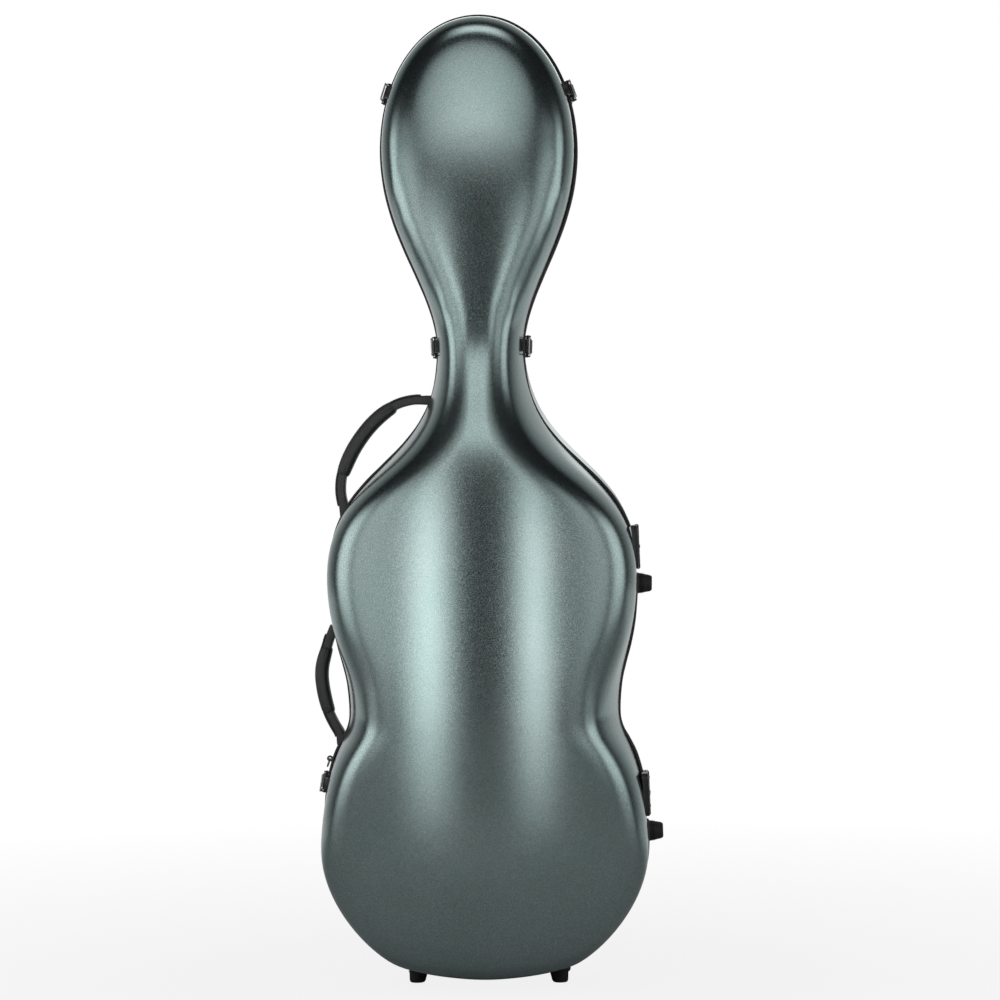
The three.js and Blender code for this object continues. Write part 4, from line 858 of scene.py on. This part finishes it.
def loft_line(made, line, section_at):
    """A solid along a line whose section may change on the way."""
    rings = [
        [
            spot + Vector((0, wide * mm, 0)) + out * thick * mm
            for wide, thick in section_at(i / (len(line) - 1))
        ]
        for i, (spot, out, _) in enumerate(line)
    ]
    return pull_section(made, rings, closed=False)


def stitches_on(made, line, length, wide, thick, pitch=3.6, stitch=2.4):
    """A row of stitches laid on a line's surface, each a small bent bar that dips at its ends."""
    count = int(length / (pitch * mm))
    for k in range(1, count):
        place_on = k / count * (len(line) - 1)
        i = min(int(place_on), len(line) - 2)
        spot = line[i][0].lerp(line[i + 1][0], place_on - i)
        out, along = line[i][1], line[i][2]
        centre = spot + Vector((0, wide * mm, 0)) + out * thick * mm
        matrix = Matrix((Vector((0, 1, 0)), along, out)).transposed().to_4x4()
        matrix = Matrix.Translation(centre) @ matrix @ Matrix.Scale(mm, 4)
        half = stitch / 2
        bar = [(-half, -0.35), (-half * 0.6, 0.22), (half * 0.6, 0.22), (half, -0.35)]
        start = len(made.verts)
        bar_of(made, bar, -0.35, 0.35)
        made.verts.ensure_lookup_table()
        bmesh.ops.transform(made, verts=made.verts[start:], matrix=matrix)


def squared(value):
    return math.copysign(abs(value) ** 0.72, value)


def grip_section(share, half_wide, half_thick):
    """A squarish round section, a little thinner towards the ends, where it turns in."""
    swell = 1 - 0.2 * abs(2 * share - 1) ** 5
    end = min(share, 1 - share) / 0.05
    turn_in = 1.0 if end > 1 else 0.72 + 0.28 * math.sqrt(max(0.0, 1 - (1 - end) ** 2))
    return [
        (
            half_wide * swell * turn_in * squared(math.cos(turn)),
            half_thick * swell * turn_in * squared(math.sin(turn)),
        )
        for turn in turns(28)
    ]


def strap_section(share):
    """The strap's section, which grows thicker towards its screwed ends."""
    near_end = max(0.0, 1 - min(share, 1 - share) / 0.14)
    return rounded_section(11.0, 5.6 + 1.2 * near_end * near_end * (3 - 2 * near_end), 2.0)


def shifted(line, aside, away):
    """A line moved across the case's depth and away from the wall."""
    return [
        (spot + Vector((0, aside * mm, 0)) + out * away * mm, out, along)
        for spot, out, along in line
    ]


handle_routes = {
    "upper_handle": {
        "route": [
            (0.082, 0.045), (0.069, 0.117), (0.045, 0.231), (0.056, 0.345), (0.107, 0.454),
            (0.176, 0.556), (0.2625, 0.652), (0.362, 0.739), (0.478, 0.815), (0.610, 0.8736),
            (0.758, 0.903), (0.912, 0.906), (0.985, 0.900),
        ],
        "grip": (0.24, 0.76), "wide": 14.5, "thick": 10.5,
    },
    "lower_handle": {
        "route": [
            (0.80, 0.05), (0.744, 0.131), (0.584, 0.198), (0.432, 0.267), (0.310, 0.340),
            (0.228, 0.414), (0.169, 0.490), (0.139, 0.567), (0.162, 0.644), (0.242, 0.719),
            (0.348, 0.793), (0.449, 0.866), (0.60, 0.94),
        ],
        "grip": (0.26, 0.84), "wide": 14.5, "thick": 9.6,
    },
}

line_steps = 72
flap_first, flap_last = 5, 67
flap_lift = 7.0

for handle, facts in handle_routes.items():
    strap, grip = f"{handle}_strap", f"{handle}_grip"
    low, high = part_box(strap)
    route = [
        low + Vector((across, 0.5, rise)) * (high - low) for across, rise in facts["route"]
    ]
    line, length = open_line(route, line_steps)
    flap = line[flap_first:flap_last]
    made = loft_line(bmesh.new(), line, strap_section)
    loft_line(made, shifted(flap, 0, flap_lift), lambda share: rounded_section(10.2, 1.1, 0.9, 2))
    finish_piece(made, f"{strap}_sewn", leather, "back", strap)
    made = bmesh.new()
    for side in (-1, 1):
        stitches_on(made, flap, length * (flap_last - flap_first) / line_steps, side * 8.4, 8.2)
    finish_piece(made, f"{strap}_stitches", thread, "back")

    start, end = (round(share * line_steps) for share in facts["grip"])
    wide, thick = facts["wide"], facts["thick"]
    grip_line = line[start:end + 1]
    made = loft_line(bmesh.new(), grip_line, lambda share: grip_section(share, wide, thick))
    padded = smoothed(finish_piece(made, f"{grip}_padded", leather, "back", grip), 1)
    welt, sewn = bmesh.new(), bmesh.new()
    for side in (-1, 1):
        loft_line(
            welt, shifted(grip_line[2:-2], side * (wide - 1.6), 0),
            lambda share: rounded_section(1.5, 1.1, 0.9, 2),
        )
        stitches_on(
            sewn, grip_line[3:-3], length * (end - start - 6) / line_steps, side * (wide - 5.2),
            thick * 0.86, 3.2, 2.1,
        )
    finish_piece(welt, f"{grip}_seams", leather, "back")
    finish_piece(sewn, f"{grip}_stitches", thread, "back")


# Rubber studs. Two bumpers on the hinge side and four feet under the case are moulded in black
# rubber, tapered, with two ribs round them, and held by a screw at the bottom of a recess.
rubber = Finish("black_rubber", Specular_IOR_Level=0.4)
scuffs = texture_of(
    rubber.tree, "Noise", {"Scale": 90.0, "Detail": 5.0, "Roughness": 0.7},
).outputs["Fac"]
rubber.colour(scuffs, (0.012, 0.012, 0.0125), (0.034, 0.034, 0.034), 0.45, 0.8)
rubber.dull(scuffs, 0.55, 0.8)
rubber.bump(rubber.grain(1400.0, 0.4)["Grain"], 0.2, 0.0003)
stud_base, stud_tip, stud_recess = 15.7, 10.8, 3.7
recess_depth = 7.0
root_depth = 5.0
bumper_height, foot_height = 22.0, 27.5
foot_lean = 3.0


def stud_profile(height):
    flare = (stud_base - stud_tip) / height
    return [
        (0, -root_depth), (stud_base + flare * root_depth, -root_depth), (stud_base, 0),
        (stud_base - 0.9, 1.6), (stud_tip + 2.2 * flare + 0.2, height - 3.0),
        (stud_tip - 0.2, height - 1.5), (stud_tip - 0.9, height - 0.5), (stud_tip - 2.2, height),
        (stud_recess + 1.6, height - 0.1), (stud_recess + 0.5, height - 0.5),
        (stud_recess, height - 1.3), (stud_recess, height - recess_depth),
        (0, height - recess_depth),
    ]


def make_stud(node, matrix, height):
    """A rubber stud with two ribs round it, and the screw in its recess."""
    made = turned_of(bmesh.new(), stud_profile(height), matrix, 48)
    for rise, radius in ((height * 0.32, 14.35), (height * 0.44, 13.75)):
        rib = [
            (radius - 0.9, rise - 0.5), (radius + 0.35, rise - 0.35), (radius + 0.45, rise),
            (radius + 0.35, rise + 0.35), (radius - 0.9, rise + 0.5), (radius - 0.9, rise - 0.5),
        ]
        turned_of(made, rib, matrix, 48)
    finish_piece(made, f"{node}_moulded", rubber, "back", node)
    screw = bmesh.new()
    seat = Matrix.Translation((0, 0, height - recess_depth - 0.2))
    head_on(screw, 3.3, 1.5, matrix @ seat, 24)
    finish_piece(screw, f"{node}_screw", bare_steel, "back")


def middle_of(values):
    return (min(values) + max(values)) / 2


for node in ("upper_side_bumper", "lower_side_bumper"):
    low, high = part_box(node)
    verts = frame["nodes"][node].data.vertices
    tip_z = middle_of([vert.co.z for vert in verts if vert.co.x > high.x - 1.2 * mm])
    spot, out = land_line.at(land_line.nearest_way(high.x, tip_z))
    along = Vector((0, 1, 0)).cross(Vector((out.x, 0, out.y)))
    make_stud(node, row_matrix((spot.x, (low.y + high.y) / 2, spot.y), along), bumper_height)

for node in ("front_left_foot", "front_right_foot", "rear_left_foot", "rear_right_foot"):
    sole = [vert.co for vert in frame["nodes"][node].data.vertices if vert.co.z < 0.5 * mm]
    centre = Vector((middle_of([spot.x for spot in sole]), middle_of([spot.y for spot in sole]), 0))
    lean = Matrix.Identity(4)
    lean[0][2] = -math.copysign(foot_lean, centre.x) / foot_height
    matrix = (
        Matrix.Translation(centre) @ lean @ Matrix.Translation((0, 0, foot_height * mm))
        @ Matrix.Rotation(math.pi, 4, "X") @ Matrix.Scale(mm, 4)
    )
    make_stud(node, matrix, foot_height)


# Back runners. The case lies on two ribbed strips of rubber when it is opened. They are bonded to
# the back, follow its curve and are sunk a little into its paint.
runner_ribs = 5
runner_groove = 1.1
runner_stations = 24
runner_end_drop = 2.0
runner_round = 2.2
runner_sunk = 1.2
runner_end = 4.0
back_wall = merged_copy("back_shell")
back_surface = BVHTree.FromBMesh(back_wall)
back_wall.free()


def wall_depth(x, face_y, z):
    """How far the back's wall lies inside the runner's face, in millimetres."""
    hit = back_surface.ray_cast(Vector((x, face_y + 1.0, z)), Vector((0, -1, 0)))[0]
    return (face_y - hit.y) / mm


def runner_face(wide, sink):
    """The ribbed face, from one edge to the other, lowered at the rounded ends."""
    face = arc(-wide / 2 + runner_round, -runner_round - sink, runner_round, 180, 90, 3)
    rib = (wide - 2 * runner_end) / (2 * runner_ribs - 1)
    for k in range(runner_ribs):
        start = -wide / 2 + runner_end + 2 * k * rib
        face += [(start, -sink), (start + rib, -sink)]
        if k < runner_ribs - 1:
            floor = -runner_groove - sink
            face += [(start + rib, floor), (start + 2 * rib, floor)]
    return face + arc(wide / 2 - runner_round, -runner_round - sink, runner_round, 90, 0, 3)


for runner in ("back_runner_left", "back_runner_right"):
    low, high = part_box(runner)
    middle_x, wide = (low.x + high.x) / 2, (high.x - low.x) / mm
    rings = []
    for i in range(runner_stations + 1):
        z = low.z + (high.z - low.z) * i / runner_stations
        near_end = max(0.0, 1 - min(z - low.z, high.z - z) / (runner_end * mm))
        sides = [
            (side * wide / 2, -wall_depth(middle_x + side * wide * mm / 2, high.y, z) - runner_sunk)
            for side in (1, -1)
        ]
        section = runner_face(wide, runner_end_drop * near_end) + sides
        rings.append([(middle_x + across * mm, high.y + rise * mm, z) for across, rise in section])
    made = pull_section(bmesh.new(), rings, closed=False)
    crease_sharp(made, math.radians(35))
    made.normal_update()
    finish_piece(made, f"{runner}_ribbed", rubber, "back", runner)


# Padding in the back. A cradle holds the neck, a hollowed cushion the lower end, and four crowned
# pads the bouts. All are foam under the same dark plush, swollen a little between their seams.
def swollen(made, name, voxel, pressure, cap, rounds=20):
    """Inflates a padded piece as cloth over foam and keeps its shape within the cap."""
    mesh = bpy.data.meshes.new(name)
    made.to_mesh(mesh)
    made.free()
    start = bpy.data.objects.new(name, mesh)
    bpy.context.collection.objects.link(start)
    remesh = start.modifiers.new("remesh", "REMESH")
    remesh.mode = "VOXEL"
    remesh.voxel_size = voxel
    settled = start.modifiers.new("settle", "SMOOTH")
    settled.factor, settled.iterations = 0.5, 3

    def taken():
        depsgraph = bpy.context.evaluated_depsgraph_get()
        return bpy.data.meshes.new_from_object(start.evaluated_get(depsgraph))

    whole = taken()
    start.modifiers.clear()
    start.data = whole
    before = [vert.co.copy() for vert in whole.vertices]
    scene = bpy.context.scene
    cloth = start.modifiers.new("cloth", "CLOTH")
    cloth.settings.use_pressure = True
    cloth.settings.uniform_pressure_force = pressure
    cloth.settings.effector_weights.gravity = 0
    cloth.settings.quality = 4
    cloth.point_cache.frame_start, cloth.point_cache.frame_end = 1, rounds
    for tick in range(1, rounds + 1):
        scene.frame_set(tick)
    swelled = taken()
    start.modifiers.clear()
    for vert, old, new in zip(whole.vertices, before, swelled.vertices):
        way = new.co - old
        vert.co = old + way * min(1.0, cap / max(way.length, 1e-9))
    bpy.data.meshes.remove(swelled)
    scene.frame_set(1)
    done = bmesh.new()
    done.from_mesh(start.data)
    bpy.data.objects.remove(start)
    return done


for node, voxel in (
    ("end_cushion", 4.5), ("neck_cradle", 4.0), ("upper_left_pad", 5.0), ("upper_right_pad", 5.0),
    ("lower_left_pad", 5.0), ("lower_right_pad", 5.0),
):
    made = swollen(merged_copy(node), node, voxel * mm, 4.0, 2.0 * mm)
    finish_piece(made, f"{node}_plush", plush, "back", node)


# Neck strap. A band of black woven webbing holds the cello's neck down in the cradle. It is
# stretched over the cradle's hollow and sewn to it at both ends.
webbing = Finish("webbing", Sheen_Weight=0.25)
threads = [
    texture_of(
        webbing.tree, "Wave", {"Scale": scale, "Distortion": distortion, "Detail": 1.0},
        wave_type="BANDS", bands_direction=direction,
    ).outputs["Fac"]
    for scale, distortion, direction in ((180.0, 0.6, "X"), (120.0, 0.4, "Z"))
]
weave = math_of(webbing.tree, "MULTIPLY", *threads)
webbing.colour(weave, (0.010, 0.010, 0.011), (0.040, 0.041, 0.042), 0.0, 1.0)
webbing.dull(weave, 0.65, 0.85, 0.0, 1.0)
webbing.bump(weave, 0.5, 0.0005)
band_rise = 0.7 * mm
band_thick = 1.6 * mm
low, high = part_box("neck_strap")
middle = (low + high) / 2
band_length, band_width = high.x - low.x - 2 * mm, high.z - low.z
made = bmesh.new()
bmesh.ops.create_grid(made, x_segments=60, y_segments=8, size=0.5)
for vert in made.verts:
    vert.co = middle + Vector((
        vert.co.x * band_length, -band_rise * math.cos(2 * math.pi * vert.co.x),
        vert.co.y * band_width,
    ))
bmesh.ops.solidify(made, geom=made.faces[:], thickness=band_thick)
bmesh.ops.recalc_face_normals(made, faces=made.faces)
neck_strap = finish_piece(made, "neck_strap_webbing", webbing, "back", "neck_strap")


# Bow fittings in the lid. A plush block with two holes takes the tips; two moulded clips turn on
# bosses over the frogs.
plastic = Finish("black_plastic", Specular_IOR_Level=0.5)
grain = plastic.grain(1100.0, 0.6)
plastic.colour(grain["Cloud"], (0.017, 0.0172, 0.018), (0.028, 0.0285, 0.029))
plastic.dull(grain["Grain"], 0.38, 0.55)
plastic.bump(grain["Grain"], 0.18, 0.0003)
node = "bow_tip_holder"
made = swollen(merged_copy(node), node, 3.0 * mm, 4.0, 1.2 * mm)
finish_piece(made, f"{node}_plush", plush, "lid", node)

flat_on_y = Matrix(((0, 1, 0, 0), (1, 0, 0, 0), (0, 0, 1, 0), (0, 0, 0, 1)))
for clip in ("bow_clip_left", "bow_clip_right"):
    low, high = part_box(clip)
    middle = (low + high) / 2
    half_long, half_thick = (high.x - low.x) / 2 / mm, (high.y - low.y) / 2 / mm
    end = (high.z - low.z) / 2 / mm
    outline = arc(half_long - end, 0, end, -90, 90, 10) + arc(-half_long + end, 0, end, 90, 270, 10)
    made = bar_of(bmesh.new(), outline, -half_thick, half_thick, 1.2, 3)
    place_all(made, Matrix.Translation(middle) @ Matrix.Scale(mm, 4) @ flat_on_y)
    bmesh.ops.recalc_face_normals(made, faces=made.faces)
    finish_piece(made, f"{clip}_moulded", plastic, clip, clip)
    base_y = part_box(f"{clip}_base")[0].y
    rise = (low.y - base_y) / mm
    boss = [
        (0, -1.0), (11.0, -1.0), (11.0, 0.6), (10.2, 1.6), (8.4, 2.0), (8.0, 3.2),
        (8.0, rise - 1.2), (7.4, rise - 0.5), (6.6, rise - 0.3), (0, rise - 0.3),
    ]
    matrix = (
        Matrix.Translation((middle.x, base_y, middle.z)) @ Matrix.Rotation(-math.pi / 2, 4, "X")
        @ Matrix.Scale(mm, 4)
    )
    made = turned_of(bmesh.new(), boss, matrix, 32)
    top = Matrix.Translation((0, 0, rise + 2 * half_thick))
    head_on(made, 3.6, 1.2, matrix @ top, 20)
    finish_piece(made, f"{clip}_base_turned", plastic, "lid", f"{clip}_base")


# Accessory box. A moulded open box stands in the head of the back, for rosin and strings; its door
# drops down on two stub pins and is pulled open by a tab.
box_wall = 3.0 * mm
box_deep = 45.0 * mm
door_gap = 0.3 * mm
door_thick = 3.0
door_knuckle = 2.6


def slab(y_low, y_high, z_low, z_high):
    return [(y_low, z_low), (y_high, z_low), (y_high, z_high), (y_low, z_high)]


low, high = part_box("accessory_box")
door_low, door_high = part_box("accessory_box_lid")
low.y = door_high.y + door_gap
low.z = door_low.z + 2 * door_knuckle * mm + door_gap
made = bmesh.new()
verts = bmesh.ops.create_cube(made, size=1.0)["verts"]
bmesh.ops.scale(made, verts=verts, vec=high - low)
bmesh.ops.translate(made, verts=verts, vec=(low + high) / 2)
mouth = [face for face in made.faces if face.normal.y < -0.5]
bmesh.ops.inset_region(made, faces=mouth, thickness=box_wall, depth=0)
deep = bmesh.ops.extrude_face_region(made, geom=mouth)["geom"]
bmesh.ops.delete(made, geom=mouth, context="FACES_ONLY")
floor_verts = [part for part in deep if isinstance(part, bmesh.types.BMVert)]
bmesh.ops.translate(made, verts=floor_verts, vec=(0, box_deep, 0))
bmesh.ops.recalc_face_normals(made, faces=made.faces)
bmesh.ops.bevel(
    made, geom=made.edges[:], offset=0.9 * mm, segments=3, profile=0.5, affect="EDGES",
    clamp_overlap=True, material=-1,
)
hinge_spot = Vector(joint_rows["accessory_box_lid_hinge"]["pos_m"])
for side in (-1, 1):
    lug = bmesh.new()
    rod_of(lug, 0, 0, door_knuckle, 32.3, 40.3, 0.4)
    bar_of(lug, [(0, -2.6), (3.6, -2.6), (3.6, 4.4), (0, 2.6)], 32.5, 40.1, 0.2)
    rod_of(lug, 0, 0, 1.2, 27.5, 33.0, 0.2)
    place_all(lug, Matrix.Translation(hinge_spot) @ Matrix.Diagonal((side * mm, mm, mm, 1)))
    bmesh.ops.recalc_face_normals(lug, faces=lug.faces)
    holding = bpy.data.meshes.new("lug")
    lug.to_mesh(holding)
    lug.free()
    made.from_mesh(holding)
    bpy.data.meshes.remove(holding)
finish_piece(made, "accessory_box_moulded", plastic, "back", "accessory_box")

made = bmesh.new()
half = (door_high.x - door_low.x) / 2 / mm
rise = (door_high.z - hinge_spot.z) / mm
back_face = door_knuckle
front = back_face - door_thick
bar_of(made, slab(front, back_face, 4.4, rise - 6.0), -half, half, 0.8, 3)
bar_of(made, slab(front, back_face, 0.0, 6.0), -31.8, 31.8, 0.3)
bar_of(made, slab(front, back_face, rise - 9.0, rise), -11, 11, 0.9, 3)
for k in range(4):
    rod_of(made, front + 0.1, rise - 4.6 + k * 1.15, 0.45, -8.5, 8.5, 0.1, 10)
rod_of(made, 0, 0, door_knuckle, -32.0, 32.0, 0.4)
place_all(made, Matrix.Translation(hinge_spot) @ Matrix.Scale(mm, 4))
node = "accessory_box_lid"
finish_piece(made, f"{node}_moulded", plastic, node, node)


# Studio. A pale floor meets a white room. Two tall soft boxes stand left and right of the camera
# with a narrow dark gap between them, which the shell shows as the dark stripe down its middle. One
# hangs over them for the head, and wider ones light the sides, the top and the back.
floor_radius = 9.0


def make_floor_white():
    """Pale paper that looks white to the camera and, behind the case, in its mirror bands."""
    material = bpy.data.materials.new("paper_white")
    material.use_nodes = True
    tree = material.node_tree
    tree.nodes.clear()
    paper = set_inputs(add_node(tree, "BsdfDiffuse"), Color=(0.38, 0.38, 0.38, 1))
    rays = add_node(tree, "LightPath").outputs
    place = add_node(tree, "TexCoord")
    away = add_node(tree, "VectorMath", operation="LENGTH")
    parts = add_node(tree, "SeparateXYZ")
    mix = add_node(tree, "MixShader")
    join(
        tree, (place, "Object", away, 0), (place, "Object", parts, "Vector"),
        (paper, "BSDF", mix, 1), (add_node(tree, "Emission"), "Emission", mix, 2),
        (mix, "Shader", add_node(tree, "OutputMaterial"), "Surface"),
    )
    distant = range_between(tree, away.outputs["Value"], 0.86, 1.0, 0.4, 2.2)
    behind = range_between(tree, parts.outputs["Y"], 0.0, 0.6, 0.3, 2.0)
    seen = math_of(tree, "MULTIPLY", rays["Is Camera Ray"], distant)
    mirrored = math_of(tree, "MULTIPLY", rays["Is Glossy Ray"], behind)
    clear = math_of(tree, "MAXIMUM", rays["Is Transmission Ray"], mirrored)
    feed(tree, math_of(tree, "MAXIMUM", seen, clear), mix.inputs["Fac"])
    return material


made = bmesh.new()
bmesh.ops.create_circle(made, cap_ends=True, segments=96, radius=floor_radius)
floor_mesh = bpy.data.meshes.new("floor")
made.to_mesh(floor_mesh)
made.free()
floor_mesh.materials.append(make_floor_white())
floor = bpy.data.objects.new("floor", floor_mesh)
bpy.context.collection.objects.link(floor)
floor.location.z = -0.5 * mm

scene = bpy.context.scene
world = scene.world = bpy.data.worlds.new("studio")
world.use_nodes = True
tree = world.node_tree
backdrop = set_inputs(tree.nodes["Background"], Color=(1, 1, 1, 1))
rays = add_node(tree, "LightPath").outputs
parts = add_node(tree, "SeparateXYZ")
join(tree, (add_node(tree, "TexCoord"), "Generated", parts, "Vector"))
behind = range_between(tree, parts.outputs["Y"], 0.01, 0.6, 0.1, 0.9)
mirrored = math_of(tree, "MULTIPLY", rays["Is Glossy Ray"], behind)
fill = range_between(tree, rays["Is Diffuse Ray"], 0.0, 0.30)
direct = math_of(tree, "MAXIMUM", rays["Is Camera Ray"], rays["Is Transmission Ray"])
level = math_of(tree, "MAXIMUM", direct, math_of(tree, "MAXIMUM", mirrored, fill))
feed(tree, level, backdrop.inputs["Strength"])


def soft_box(name, azimuth, distance, height, aim_height, width, tall, radiance, fade=0.6):
    """A soft box on a circle round the case, whose light fades over a share of its half size."""
    turn = math.radians(azimuth)
    light = bpy.data.lights.new(name, "AREA")
    light.shape = "RECTANGLE"
    light.size, light.size_y = width, tall
    light.energy = radiance * math.pi * width * tall
    light.use_nodes = True
    tree = light.node_tree
    glow = next(node for node in tree.nodes if node.type == "EMISSION")
    sides = add_node(tree, "SeparateXYZ")
    join(tree, (add_node(tree, "NewGeometry"), "Parametric", sides, "Vector"))
    levels = []
    for side in ("X", "Y"):
        away = math_of(tree, "ABSOLUTE", math_of(tree, "SUBTRACT", sides.outputs[side], 0.5))
        levels.append(range_between(tree, away, 1.0, 0.0, 0.5 * (1 - fade), 0.5))
    feed(tree, math_of(tree, "MULTIPLY", *levels), glow.inputs["Strength"])
    lamp = bpy.data.objects.new(name, light)
    bpy.context.collection.objects.link(lamp)
    lamp.location = (distance * math.sin(turn), -distance * math.cos(turn), height)
    aim = Vector((0, seam, aim_height)) - lamp.location
    lamp.rotation_euler = aim.to_track_quat("-Z", "Y").to_euler()
    lamp.visible_camera = False


soft_box("left_inner_box", -18.5, 1.4, 0.58, 0.58, 0.46, 1.35, 2.9, 0.85)
soft_box("right_inner_box", 13.5, 1.4, 0.58, 0.58, 0.40, 1.35, 2.6, 0.85)
soft_box("left_outer_box", -38, 2.6, 1.0, 0.8, 1.6, 2.0, 0.95)
soft_box("right_outer_box", 36, 2.6, 1.0, 0.8, 1.6, 2.0, 0.75)
soft_box("left_side_box", -70, 2.6, 1.05, 0.75, 2.0, 2.2, 1.6)
soft_box("right_side_box", 70, 2.6, 1.05, 0.75, 2.0, 2.2, 1.3)
soft_box("top_box", -4, 2.5, 2.0, 1.2, 2.2, 1.4, 1.4, 0.7)
soft_box("overhead_box", 0, 0.9, 3.0, 1.2, 1.8, 1.2, 1.6)
soft_box("rear_box", 180, 2.6, 1.9, 0.75, 2.2, 1.8, 1.6)

target = Vector((0.0215, seam, 0.680))
view_distance, view_half_width = 4.3, 0.70175
yaw, roll = math.radians(3.3), math.radians(0.63)
lens = bpy.data.cameras.new("camera")
lens.sensor_width = 36.0
lens.lens = lens.sensor_width * view_distance / (2 * view_half_width)
camera = bpy.data.objects.new("camera", lens)
bpy.context.collection.objects.link(camera)
camera.location = target + view_distance * Vector((math.sin(yaw), -math.cos(yaw), 0))
look = (target - camera.location).to_track_quat("-Z", "Y").to_matrix().to_4x4()
camera.rotation_euler = (look @ Matrix.Rotation(-roll, 4, "Z")).to_euler()
scene.camera = camera
scene.view_settings.view_transform = "Standard"
